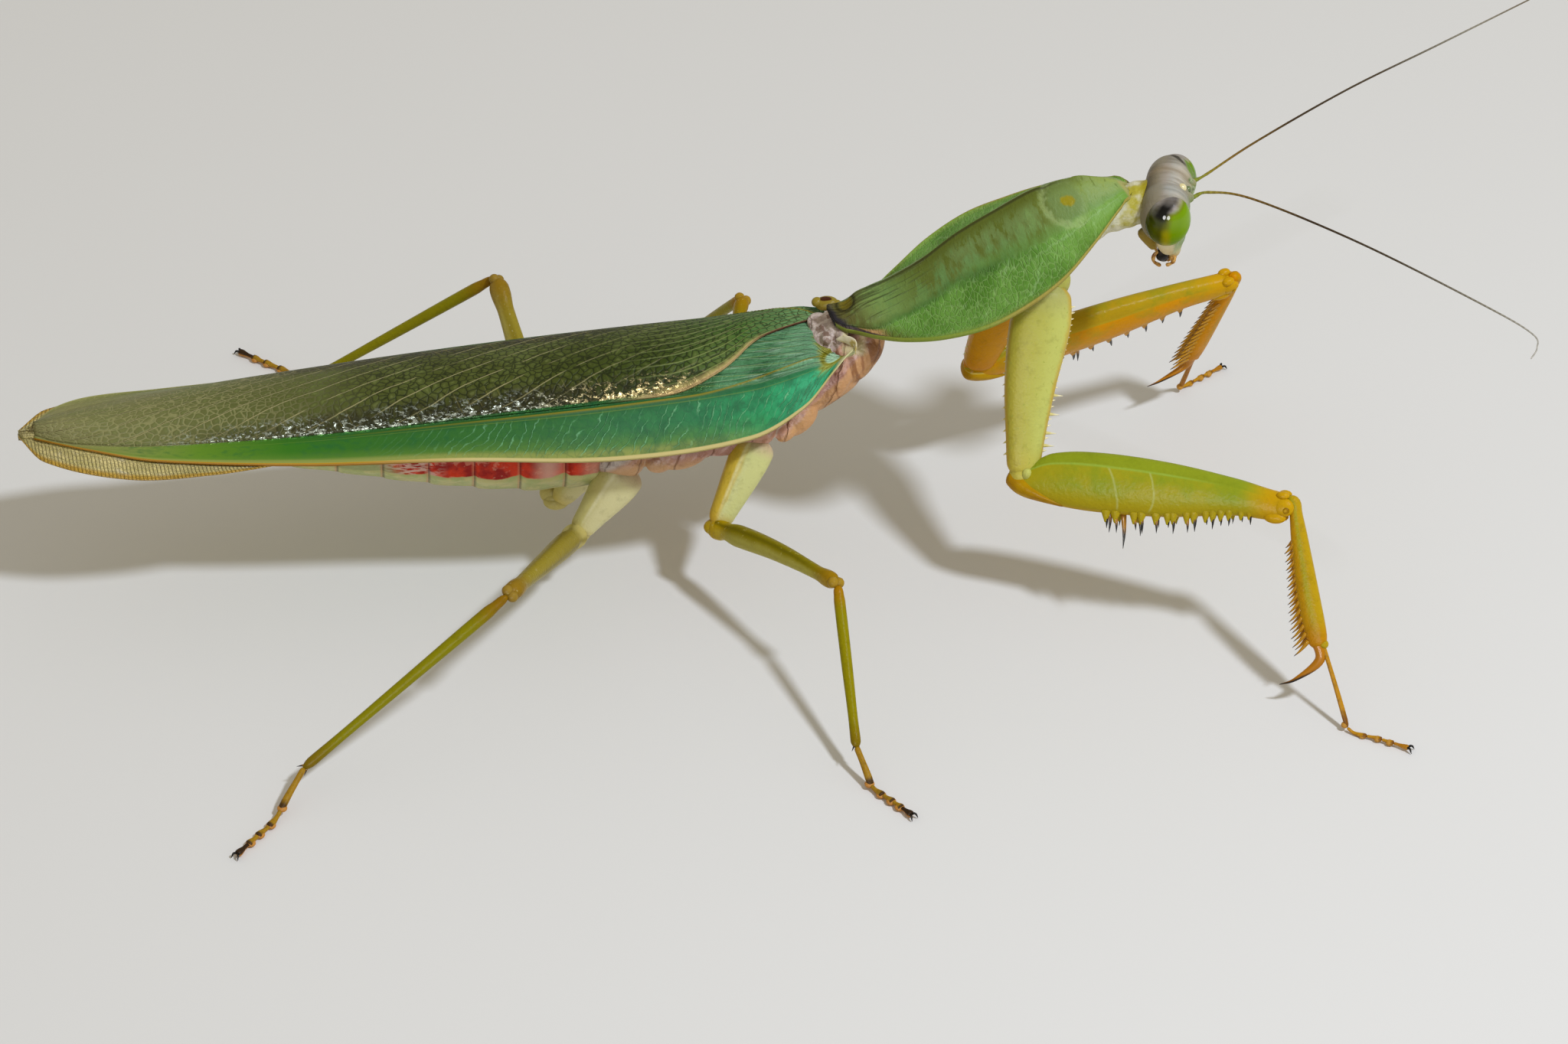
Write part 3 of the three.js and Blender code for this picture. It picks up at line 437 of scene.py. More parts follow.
def shieldFinish():
    f = Finish("shieldCuticle", bodyLight=0.08, specular=0.1)
    along, sideways, fold = f.local()
    out = sideways.size()
    length = shield["length"]
    lengthwise = along * length
    on = f.joined(lengthwise, sideways)
    broad = f.noise(0.3, 3, on) - 0.5
    fine = f.noise(2.6, 4, on) - 0.5
    wavyFold = fold + broad * 0.3 + fine * 0.1
    strokes = f.rise(f.noise(1, 2, (lengthwise * 2.9, sideways * 1.1, 2), 0.6), 0.55, 0.68)
    netAt = f.bent((lengthwise * 1.5, sideways * 0.85), 0.9, 0.5)
    net = f.rise(f.cells(2, netAt), 0.13, 0.01) * f.rise(along, 0.96, 0.72)
    folds = f.lines(lengthwise + out * 0.9 + broad * 3, 3.4, 0.2) * f.rise(f.noise(0.5, 2, on), 0.48, 0.6)
    # leaf-like flange with short pale strokes and a faint net
    flange = f.over(
        f.blend(f.rise(broad + fine * 0.25, -0.14, 0.16), "527f2b", "6c9a42"), (net, 0.42, "8cb064"),
        (strokes, 0.22, "a8c684"), (folds, (along, 0.3, 0.45), 0.4, "9cc080"),
        ((along, 0.66, 0.95), 0.55, "80a448"), (f.band(fold, 1.93, 0.1), 0.3, "9aa852"))
    mottleAt = f.noise(0.9, 4, (lengthwise * 1.7, fold * 2.2, 5), 0.62)
    mottle = f.rise(mottleAt - fold * 0.2, 0.22, 0.42) * f.rise(along, 0.16, 0.34) * f.rise(along, 0.8, 0.7)
    shade = f.rise(fold, 0.35, 0.02) * f.rise(along, 0.1, 0.3) * f.rise(along, 0.98, 0.8)
    wrinkles = f.rise(f.noise(1, 3, (lengthwise * 0.22, sideways * 5.5, 1)), 0.52, 0.66)
    wrinkles = wrinkles * f.rise(along, 0.42, 0.12) * f.rise(fold, 0.95, 0.6)
    frontStrokes = f.rise(f.noise(1.1, 3, (lengthwise * 2.4, sideways * 1.2, 8)), 0.58, 0.68)
    # body: grey green, hazy towards the crease, olive strokes down from the keel
    body = f.over(
        f.ramp(along, (0, "5c6438"), (0.1, "7c9450"), (0.35, "5e8040"), (0.6, "668640"),
            (0.8, "7c9044"), (1, "94a456")), ((fold, 0.4, 0.75), (along, 0.25, 0.4), 0.4, "72945a"),
        ((fine + broad, 0.05, 0.3), 0.35, "5a7c44"), (mottle, 0.75, "5e621c"),
        ((mottleAt, 0.6, 0.5), (along, 0.3, 0.45), f.band(fold, 0.45, 0.4), 0.4, "7f9a62"),
        ((fold, 0.7, 0.95), (along, 0.4, 0.5), 0.5, "648f40"), (shade, 0.6, "545c1c"),
        (wrinkles, 0.7, "3a4222"), (frontStrokes, (along, 0.84, 0.88), (out, 1.3, 0.5), 0.6, "5a6a20"))
    middle, inner = shield["grooveMiddle"]
    ringOut = f.disc((along - middle) * length, out - inner, 1, 1)
    inRing = f.rise(ringOut, 1.7, 1)
    ring = f.band(ringOut + fine * 1.2, shield["grooveRadius"], 0.4)
    ring = ring * f.rise(along - out * 0.02, 0.84, 0.76)
    spot = f.rise(f.disc(lengthwise - 19.8, out - 1.4, 0.5, 0.32) + fine * 1.2, 1.2, 0.7)
    body = f.over(body, (inRing, (along, 0.88, 0.83), 0.5, "6a7c46"), (spot, 0.9, "968808"))
    crease = f.band(wavyFold, 1, 0.16) * f.rise(along, 0.7, 0.5)
    paleLine = f.band(wavyFold, 1.16, 0.05) * f.rise(along, 0.42, 0.55)
    keel = f.band(sideways + fine * 0.06, -0.1, 0.13) * f.rise(along, 0.86, 0.74)
    keelLight = f.band(sideways + fine * 0.06, 0.12, 0.14) * f.rise(along, 0.9, 0.8)
    # rear end: dusky, with a blue-black rim round an olive hollow, and a peach corner
    endward = along - fold * fold * 0.035
    dusk = f.rise(endward + fine * 0.03, 0.16, 0.03)
    corner = f.rise(along, 0.16, 0.1) * f.rise(fold, 1.1, 1.4)
    hollow = f.disc((along - shield["hollow"][0]) * length, sideways + 0.25, 0.68, 0.46)
    margin = f.blend(f.rise(along, 0.4, 0.6), "8c9c3a", "a89446")
    colour = f.over(
        f.blend(f.rise(wavyFold, 0.93, 1.06), body, flange),
        (ring, (broad + fine, -0.3, 0.1), 0.45, "a8ba7c"), (crease, 0.55, "40662c"),
        (paleLine, (broad, -0.1, 0.1), 0.35, "94b478"), (keel, 0.8, "35331a"), (keelLight, 0.6, "9aa57a"),
        # far side of the body painted lighter, to offset its shade
        ((sideways, 0.2, 0.5), (fold, 1, 0.9), 0.35, "6a9450"),
        (dusk, (fine + broad, -0.3, 0.15), 0.8, "5a5022"), (corner, 0.85, "c79a68"),
        ((endward + fine * 0.04, 0.024, -0.006), 0.92, "2c2834"),
        (f.band(hollow + fine * 0.4, 1.05, 0.45), 0.8, "2c2608"), ((hollow, 1, 0.6), 0.95, "6c6014"),
        ((fold, 1.955, 1.985), 0.85, margin), ((along, 0.985, 0.993), 0.8, "a8a062"))
    f.feed("Roughness", f.noise(1.5, 3, on) * 0.2 + 0.28)
    onFlange = f.rise(fold, 0.95, 1.05) * f.rise(fold, 1.97, 1.9) * 0.7
    height = net * onFlange * 0.5 + strokes * onFlange * 0.4 + f.noise(5, 4, on) * 0.45 - wrinkles * 0.7
    return f.finished(colour, height - frontStrokes * 0.2 - crease * 0.5, 0.1)


shape = newShape()
sheet(shape, lambda along, across: shieldPoint(along, 2 * across - 1), 200, 150, -shield["thickness"],
      shieldMark)
setPiece("shield", shape, ["pronotum"], [shieldFinish()])
print("shield made")


# Folded wings: fold and margin places on one side at each x, and the cover's inner margin
wings = {
    "rootX": 8.3, "tipX": -51, "thickness": 0.16, "layerStep": 0.8,
    "section": [[-51, 0.3, 0.15, 0.4, 14.8], [-49.5, 1.2, 0.4, 1.6, 15.2], [-47, 2, 0.6, 2.7, 15.2],
                [-42, 2.9, 0.8, 3.9, 14.7], [-31, 3.8, 0.9, 5.2, 14.5], [-20, 4.1, 0.9, 5.9, 14.65],
                [-8, 4.2, 0.9, 6.2, 14.1], [2, 3.9, 0.9, 5.5, 14.8], [6, 3.5, 0.6, 4.6, 16.7],
                [8.5, 2.9, 0.35, 3.9, 19.4], [9.2, 2.7, 0.3, 3.5, 20.1], [10.2, 2.4, 0.35, 2.9, 20.7]],
    "overlap": [[-51, -0.93], [-20, -1.03], [-5.3, -1.06], [-3.4, -1.04], [-2.1, -0.96], [-0.8, -0.82],
                [0.4, -0.66], [1.4, -0.45], [2.3, -0.2], [3.3, 0.02], [4.8, 0.22], [6.3, 0.4], [7.8, 0.62],
                [9.2, 0.7]],
    "underlap": [[-51, 0.93], [-20, 0.88], [-6, 0.88], [1, 0.66], [5, 0.62], [6.8, 0.58], [7.4, 0.4],
                 [7.8, -0.1], [8.3, -0.5], [9.2, -0.7]],
    "ridge": (18.65, -8, 0.088),  # height at an x, and slope
    "goldenVein": (1.13, 0.34, -2.5, 9),  # reach, how far it drops, and between which x
    "rootReach": 1.7, "coverLift": 0.12, "rootDrop": 0.35, "overlapLift": 0.2, "tipOverlapLift": 0.1,
    "veinHeight": 0.12, "marginHeight": 0.1,
    "fanRootX": 2, "fanTipX": -52.2, "fanLength": 54, "fanTurn": 0.5, "fanThickness": 0.12,
    "pleats": (0.07, 26),  # depth, and how many turns
    "fanEdge": [[-52.2, 0.3, 14.9], [-50.3, 3.2, 14.6], [-44, 5.3, 14.05], [-38, 5.6, 14.25],
                [-33, 5.0, 14.4], [-28, 4.5, 14.8], [2, 4.2, 15.6]],
}


def ridgeHeight(x):
    height, start, slope = wings["ridge"]
    return height + (x - start) * slope


def wingPoint(x, reach, outward):  # reach runs 0 on the midline, 1 at the fold, 2 at the margin
    foldY, foldDrop, marginY, marginZ = between(wings["section"], x)
    ridge = ridgeHeight(x)
    far, side = abs(reach), math.copysign(1, reach)
    if far <= 1:
        return Vector((x, side * foldY * far, ridge - foldDrop * far * far + outward))
    down = far - 1
    foldZ = ridge - foldDrop
    y = foldY + (marginY - foldY) * down + outward * ease(down)
    return Vector((x, side * y, foldZ + (marginZ - foldZ) * down ** 1.15 + outward * (1 - ease(down))))


def goldenVein(x):
    place, drop, start, end = wings["goldenVein"]
    return place - drop * ease((x - start) / (end - start))


def roundedWing(x, reach, outward):  # the same with the fold rounded and the main veins raised
    far = abs(reach)
    outward += wings["veinHeight"] * bump(far, goldenVein(x), 0.03) * ease((x + 34) / 24)
    outward += wings["marginHeight"] * bump(far, 2.0, 0.06)
    weights = ((-0.2, 1), (-0.1, 2), (0, 2), (0.1, 2), (0.2, 1))
    return sum((wingPoint(x, reach + step, outward) * weight for step, weight in weights), Vector()) / 8


def innerEdge(x, upper):
    return between(wings["overlap" if upper else "underlap"], x)[0]


def wingFinish(name, upper):
    f = Finish(name, specular=0.12)
    x, reach, share = f.local()
    far = reach.size()
    on = f.joined(x, reach * 4)
    wander = f.noise(0.16, 3, on) - 0.5
    fine = f.noise(1.5, 4, on) - 0.5
    byFold = f.rise(far, 0.42, 0.8) * f.rise(x, -38, -30) * f.rise(x, -2, -12)
    netAt = f.bent((x * 1.3 + reach * 0.9, reach * 6.6 - x * 0.35), 0.7, 0.7)
    netEdge = f.cells(1.3, netAt)
    net = f.rise(netEdge, 0.13, 0.01)
    toTip = f.rise(x, -24, -38)
    # pale oblique veins run back towards the inner margin
    slant = (reach if upper else reach * -1) - x * 0.1 + wander * 0.16
    oblique = f.lines(slant, 0.36, 0.02) * (1 - f.rise(x, -16, -5) * 0.7) * f.rise(far, 1.02, 0.96)
    oblique = oblique * f.rise(f.noise(0.3, 2, (x, reach * 5, 3)), 0.36, 0.5)
    crossing = f.lines(slant + x * 0.62, 0.42, 0.035) * f.rise(f.noise(0.5, 2, on), 0.5, 0.6) * byFold
    fanLines = f.lines(share + wander * 0.02, 0.055, 0.008) * f.rise(x, -9, -1)
    # broken sparkle by the fold: pale and golden patches painted as highlights, on a glossy, partly metallic
    # band
    inBand = f.rise(reach, -0.6, -0.86) * f.rise(far, 1.1, 1) * f.rise(x, -44, -34) * f.rise(x, 3, -5)
    glints = f.noise(1.3, 4, (x * 2.2 + reach * 4, reach * 14, 2), 0.62)
    glints = f.rise(glints + f.rise(far, 0.8, 1) * 0.08, 0.53, 0.64) * inBand
    goldenGlintSide = f.rise(x, -16, -7)
    down = far - 1
    # top field: olive over a net of cells, browner by the fold, paler towards the tip, with painted
    # highlight patches by the fold
    top = f.over(
        f.ramp((x + 52) / 60, (0, "8a8658"), (0.08, "7d7c4c"), (0.25, "5f6334"), (0.45, "4a5120"),
            (0.62, "454c1a"), (0.8, "364413"), (0.9, "456628"), (1, "6f9a66")),
        ((wander + fine * 0.5, -0.1, 0.25), 0.5, "65713a"),
        (byFold, (wander + fine, -0.25, 0.1), 0.8, "2c240c"), (net, 1 - toTip, 0.75, "161c08"),
        (net, toTip, 0.5, "a19c6c"), ((netEdge, 0.2, 0.45), (fine, -0.1, 0.1), 0.3, "848c50"),
        (oblique, 0.8, "b4ac78"), (crossing, 0.4, "9a9050"), (fanLines, 0.6, "9caa62"),
        # painted highlights by the fold: pale towards the tip, golden towards the root
        (inBand, 0.45, "2b2b1c"), (glints, 1 - goldenGlintSide, 0.85, "b4bcae"), (glints, goldenGlintSide, 0.9, "dcc890"))
    # side field: emerald at the root, green beyond, pale veinlets and a cream margin
    upperStripe = f.rise(down, 0.32, 0.12) * f.rise(x, -40, -20)
    patches = f.rise(f.noise(0.9, 3, (x, down * 4, 9)), 0.42, 0.64) * f.rise(x, -20, -4)
    veinletAt = x + down * 1.4 + wander * 4 + fine * 0.7 + down * down * 1.2
    veinlets = f.lines(veinletAt, 0.7, 0.1) * f.rise(down, 0.14, 0.3) * f.rise(down, 0.96, 0.84)
    veinlets = veinlets * f.rise(f.noise(0.7, 3, (x, down * 2, 6)), 0.36, 0.54) * f.rise(x, -28, -12)
    sideNet = f.bent((x * 1.4, down * 5, 3), 1.2, 0.6)
    mesh = f.rise(f.cells(1.3, sideNet), 0.1, 0) * f.rise(x, -30, -10)
    side = f.over(
        f.ramp((x + 52) / 60, (0, "9a9560"), (0.1, "8c9250"), (0.22, "5f8524"), (0.33, "357016"),
            (0.47, "2f6620"), (0.65, "2f6a2c"), (0.82, "1f7440"), (0.92, "1a965a"), (1, "3cb480")),
        (upperStripe, 0.7, "24501e"), ((fine + wander, -0.05, 0.3), 0.45, "145a30"),
        ((down, 0.5, 0.9), (x, 6, -4), 0.6, "62862c"), ((down, 0.78, 0.92), (x, 5, -6), 0.7, "9a9c50"),
        (patches, 0.5, "0f5a34"), (veinlets, 0.6, "86c492"), (mesh, 0.25, "0d4a2c"))
    if upper:
        side = f.blend(f.rise(x, -16, -26) * 0.85, side, top)
    place, drop, *span = wings["goldenVein"]
    vein = place - f.rise(x, *span) * drop
    gold = f.band(far - vein, 0, 0.035) * f.rise(x, -34, -8)
    secondVein = f.band(down, 0.2, 0.016) * f.rise(x, -42, -30)
    goldward = f.rise(x, -18, -28)
    margin = f.rise(down, 0.945, 0.965)
    side = f.over(side, (secondVein, 0.5, "6d8a34"), (margin, "9c9c60" if upper else "c8b878"))
    if not upper:
        side = f.over(side, (margin, goldward, "b08618"), ((down, 0.975, 0.99), goldward, 0.6, "a06a26"))
    colour = f.blend(f.rise(far, 0.99, 1.03), top, side)
    if upper:
        inner = f.rise(x, -9, -4)
        golden = f.rise(share + fine * 0.03, 0.06, 0.01) * f.rise(x, -7, -3) * f.rise(x, 4.2, 2)
        jade = 0
        colour = f.over(
            colour, (golden, 0.75, "c4b070"), ((share, 0.02, 0.012), inner, 0.85, "b89c6c"),
            ((share, 0.006, 0.003), (x, 2, 4), "5a3a28"))
    else:
        jade = f.rise(x, -7, -2) * f.rise(far, 1.12, 1.04)
        fanned = (reach + 0.9) * 4 / (9.4 - x) + wander * 0.05
        # pale bluish ripples on the jade root: painted sheen over the wrinkles
        paintedSheenRipples = f.rise(f.noise(1.2, 3, (x * 0.5, reach * 15, 4)), 0.5, 0.68)
        nerves = f.lines(reach + x * 0.03 + wander * 0.1, 0.2, 0.012) * f.rise(x, 7.5, 5)
        cloudy = f.noise(0.7, 4, (x * 0.8, reach * 5, 1))
        washed = f.over(
            f.blend(f.rise(cloudy, 0.4, 0.62), "2c5c36", "4e8258"), ((x, 3, 7.5), 0.55, "78aa82"),
            (f.lines(fanned, 0.11, 0.006), (x, 8, 6), 0.55, "9dbc90"), (paintedSheenRipples, (x, -2, 5), 0.4, "a8c8ac"),
            (nerves, 0.5, "93a45c"), ((x, 1, -5), 0.6, "4c6a2c"))
        colour = f.blend(jade, colour, washed)
    colour = f.blend(gold * 0.85, colour, "8f7f1e")
    if not upper:
        root = f.rise(x + fine * 1.5, 6.9, 8) * f.rise(far, 1.75, 1.35)
        drop = f.disc(x - 8.35, reach + 0.95, 0.55, 0.2)
        creamEnd = f.rise(x + far * 0.7 + fine * 0.8, 9.6, 10.3)
        colour = f.over(
            colour, (root, 0.85, "a8a03c"), (root, (fine, 0, 0.2), 0.7, "6e6c10"),
            ((drop, 1.2, 0.8), "a4c8a4"), (f.band(drop, 1.4, 0.5), 0.85, "78740e"),
            (creamEnd, 0.9, "d2cf9c"), (creamEnd, f.band(far, 1.5, 0.22), 0.5, "a8bc7c"))
    glossy = inBand * f.rise(glints, -0.2, 0.8)
    f.feed("Roughness", 0.44 - glossy * 0.14 + fine * 0.06 - jade * 0.12)
    f.feed("Metallic", glossy * 0.7)
    pillow = f.cells(1, f.bent((x * 2.3 + reach * 2, reach * 5.5), 0.8, 0.6), "F1")
    pillow = 1 - pillow * pillow * 1.5
    grooves = f.noise(1.2, 3, (x * 0.5, reach * 16))
    ripple = f.noise(1.9, 3, (x * 1.6 + reach * 3, reach * 8), 0.55)
    onTop = f.rise(far, 1.1, 1.02)
    height = f.rise(netEdge, 0, 0.2) * (0.24 - glossy * 0.15) + ripple * (0.35 + glossy * 0.3)
    height = height + pillow * glossy + grooves * jade * 0.7 + oblique * 0.6 + fanLines * 0.7
    return f.finished(colour, onTop * height + veinlets * 0.5 + f.noise(3, 3) * 0.12, 0.12)


def wingCover(name, node, upper):
    shape = newShape()
    outer = 2 if upper else -2

    def course(along, across):
        x = wings["rootX"] + (wings["tipX"] - wings["rootX"]) * along
        reach = outer + (innerEdge(x, upper) - outer) * across
        if not upper:  # the margin side reaches further to the root
            x += wings["rootReach"] * ease((-reach - 0.6) / 0.8) * (1 - along) ** 8
        return x, reach

    def surface(along, across):
        x, reach = course(along, across)
        layer = wings["coverLift"] - wings["rootDrop"] * ease((x - 6.3) / 2.2)
        if upper:
            settle = ease((reach - innerEdge(x, upper)) / 0.7)
            step = wings["overlapLift"] - wings["tipOverlapLift"] * ease((-8 - x) / 20)
            layer += step + (wings["layerStep"] - step) * settle
        return roundedWing(x, reach, layer)

    def mark(along, across):
        x, reach = course(along, across)
        return (x, reach, 1 - across)

    sheet(shape, surface, 230, 110, wings["thickness"], mark)
    setPiece(name, shape, [node], [wingFinish(name + "Membrane", upper)])


wingCover("coverLeft", "forewing_left", True)
wingCover("coverRight", "forewing_right", False)


def fanFinish():
    f = Finish("fanMembrane", roughness=0.3, specular=0.25)
    length, across, _ = f.local()
    pleat = f.noise(1, 3, (length * 0.35, across * 14))
    ribs = f.lines(length + across * 1.2, 0.28, 0.06) * f.rise(across, 0.72, 0.85)
    net = f.rise(f.cells(2, f.joined(length * 1.6, across * 14)), 0.07, 0)
    colour = f.over(
        f.blend(f.rise(pleat, 0.35, 0.65), "d8c888", "bdb070"), (ribs, 0.5, "6f6436"),
        (net, 0.35, "c9bd90"),
        ((f.noise(0.8, 3, (length * 0.8, across * 9, 2)), 0.58, 0.68), 0.5, "cfc6a8"),
        ((across, 0.93, 0.98), 0.9, "b8902c"))
    return f.finished(colour, pleat * 0.9 + net * 0.3 + ribs * 0.6, 0.14)


def fanPoint(side):
    def surface(along, across):
        x = wings["fanRootX"] + (wings["fanTipX"] - wings["fanRootX"]) * along
        foldY, foldDrop = between(wings["section"], x)[:2]
        edgeY, edgeZ = between(wings["fanEdge"], x)
        top = ridgeHeight(x) - wings["layerStep"] - 0.1 + 1.15 * ease((-47.5 - x) / 4)
        outer = max(0.25, foldY - 0.45)
        turn = wings["fanTurn"]
        if across <= turn:
            share = across / turn
            return Vector((x, side * (0.2 + (outer - 0.2) * share), top - foldDrop * share * share))
        share = (across - turn) / (1 - turn)
        depth, pleats = wings["pleats"]
        pleat = depth * math.sin(share * pleats) * ease(share / 0.15) * ease((1 - share) / 0.15)
        start, end = Vector((outer, top - foldDrop)), Vector((edgeY, edgeZ))
        marginY, marginZ = between(wings["section"], x)[2:]
        # close under the cover's margin where it fans out
        middle = start.lerp(end, 0.5).lerp(Vector((marginY - 0.2, marginZ - 0.3)), ease((-30 - x) / 6))
        spot = start.lerp(middle, share * 2) if share < 0.5 else middle.lerp(end, share * 2 - 1)
        y = spot.x + (pleat + 0.12 * math.sin(math.pi * share)) * min(edgeY / 2, 1)
        return Vector((x, side * y, spot.y))
    return surface


# Where the covers hinge: a brown knob on the far side, a thin cream fold on the near side
roots = {
    "knob": (8.4, 2.5, 20.9), "yaw": -25, "pitch": -15,
    "lumps": [  # from the knob's middle, sizes, segments, mark
        ((0, 0, 0), (0.95, 0.62, 0.55), (32, 24), "unit"),
        ((0.75, -0.35, 0.05), (0.4, 0.42, 0.4), (20, 14), (0.9, 0.6, 0)),
        ((-0.7, 0.1, 0.1), (0.42, 0.4, 0.38), (20, 14), (-0.9, 0.6, 0))],
    "fold": [(8.7, -1.7, 20.55), (9.4, -2.1, 20.75), (10.0, -2.7, 20.7), (10.0, -3.3, 20.2)],
    "foldStations": [[0, 0.1, 0.06], [0.3, 0.34, 0.1], [0.7, 0.42, 0.1], [1, 0.16, 0.06]],
}


def rootFinish():
    f = Finish("hingePlates", roughness=0.3, bodyLight=0.1)
    x, y, kind = f.local()
    grain = f.noise(1.8, 4)
    folds = f.blend(f.rise(grain, 0.4, 0.62), "dcd2b4", "b8a65c")
    knob = f.blend(f.rise(f.disc(x - 0.1, y + 0.2, 0.6, 0.42) + grain * 0.3, 0.9, 1.2), "4a260e", "93802c")
    return f.finished(f.blend(f.rise(kind, -5, -4), folds, knob), grain + f.noise(5, 2) * 0.3, 0.1)


shape = newShape()
turn = turned(roots["yaw"], "Z") @ turned(roots["pitch"], "Y")
for offset, sizes, segments, mark in roots["lumps"]:
    ball(shape, Vector(roots["knob"]) + Vector(offset), sizes, turn, *segments, mark=mark)
limb(shape, roots["fold"], (0, 0, 1), roots["foldStations"], 20, 32, cap=0.12, mark=(0, 0, -9))
setPiece("hingePlates", shape, [], [rootFinish()])

fanMaterial = fanFinish()
for name, side in (("Left", 1), ("Right", -1)):
    shape = newShape()
    sheet(shape, fanPoint(side), 130, 70, wings["fanThickness"],
          lambda along, across: (along * wings["fanLength"], across, 0))
    setPiece("fan" + name, shape, ["hindwing_" + name.lower()], [fanMaterial])
print("wings made")


def neckRings(share, angle):
    return 1 + 0.03 * math.sin(share * 30 + 0.6 * math.sin(angle * 3))


def backFolds(share, angle):
    return 1 + 0.05 * math.sin(share * 20) * math.cos(angle * 5)


def sideGrooves(share, angle):  # between the side plates
    height = math.sin(angle)
    slope = share - 0.05 * height
    grooves = sum(bump(slope, place, 0.014) for place in (0.2, 0.36, 0.52, 0.68, 0.84))
    return 1 - 0.07 * grooves * (1 - bump(height, 1, 0.4)) - 0.05 * bump(height, -0.45, 0.07)


# Trunk: one skin over the neck, the front and hind rings of the thorax and the leg sockets
trunk = {
    "voxel": 0.13, "smoothing": 3,
    "lengths": [  # course, stations, segments around and along, cap, form
        ([(10.2, 0, 19.9), (17, 0, 23.3), (24, 0, 26.8), (29.0, 0, 29.3)],
         [[0, 1.4, 1.0], [0.35, 1.7, 1.4], [0.75, 2.2, 2.1], [0.92, 1.8, 1.35], [1, 1.5, 1.1]],
         28, 30, 0.05, None),
        ([(28.0, 0, 29.2), (30.4, 0, 30.0), (32.9, 0, 30.6)],
         [[0, 1.7, 1.35], [0.35, 1.75, 1.55], [0.7, 1.55, 1.6], [1, 1.3, 1.4]], 36, 26, 0.05, neckRings),
        ([(12.4, 0, 20), (8, 0, 16.7), (0, 0, 13.9), (-9.4, 0, 12.2)],
         [[0, 1.6, 1], [0.2, 2.3, 2.4], [0.55, 3.2, 3.8], [0.8, 3.3, 3.7], [1, 2.9, 3.2]],
         72, 96, 0.07, sideGrooves),
        ([(9.6, 0, 20.0), (8.0, 0, 19.35), (5.5, 0, 18.1), (3, 0, 17.2)],
         [[0, 1.5, 0.8], [0.5, 2.1, 1.0], [1, 1.7, 0.8]], 32, 28, 0.2, backFolds)],
    "backPlates": [((8.9, 1.0, 20.45), (1.0, 1.3, 0.55)), ((8.0, 0.5, 20.3), (0.45, 0.9, 0.42)),
                   ((7.7, 1.3, 20.1), (0.9, 1.1, 0.45)), ((8.6, -0.3, 20.6), (0.4, 0.7, 0.4)),
                   ((9.2, -1.0, 20.6), (0.5, 0.8, 0.4)), ((8.1, -1.0, 20.2), (0.5, 0.7, 0.42))],
    "sidePlates": [  # over the legs: middle, half length, half thickness and half depth, slope
        ((6.0, 2.1, 13.6), (1.7, 0.75, 0.95), 48), ((4.9, 2.6, 12.75), (0.85, 0.5, 0.55), 40),
        ((8.7, 1.9, 16.6), (1.9, 0.7, 0.9), 60), ((0.4, 2.8, 12.2), (2.2, 0.6, 0.9), 8),
        ((-2.9, 2.9, 11.5), (2.0, 0.7, 1.15), 16), ((-4.7, 3.0, 10.9), (1.0, 0.5, 0.75), 10),
        ((-7.6, 2.4, 10.9), (1.9, 1.2, 1.5), 0), ((2.3, 2.5, 12.9), (1.8, 1.0, 1.2), 0)],
    "socket": ((24.3, 2.0, 25.0), (1.8, 1.1, 1.8)),
}


def trunkSkin():
    shape = newShape()
    for course, stations, around, along, cap, form in trunk["lengths"]:
        limb(shape, course, (0, 1, 0), stations, around, along, cap, form=form)
    for middle, sizes in trunk["backPlates"]:
        ball(shape, middle, sizes)
    for side in (1, -1):
        for (x, y, z), sizes, slope in trunk["sidePlates"]:
            ball(shape, (x, y * side, z), sizes, turned(-slope, "Y"), 28, 20)
        (x, y, z), sizes = trunk["socket"]
        ball(shape, (x, y * side, z), sizes)
    return fuse(shape, trunk["voxel"], trunk["smoothing"], lambda co: (co.x, co.y, co.z))


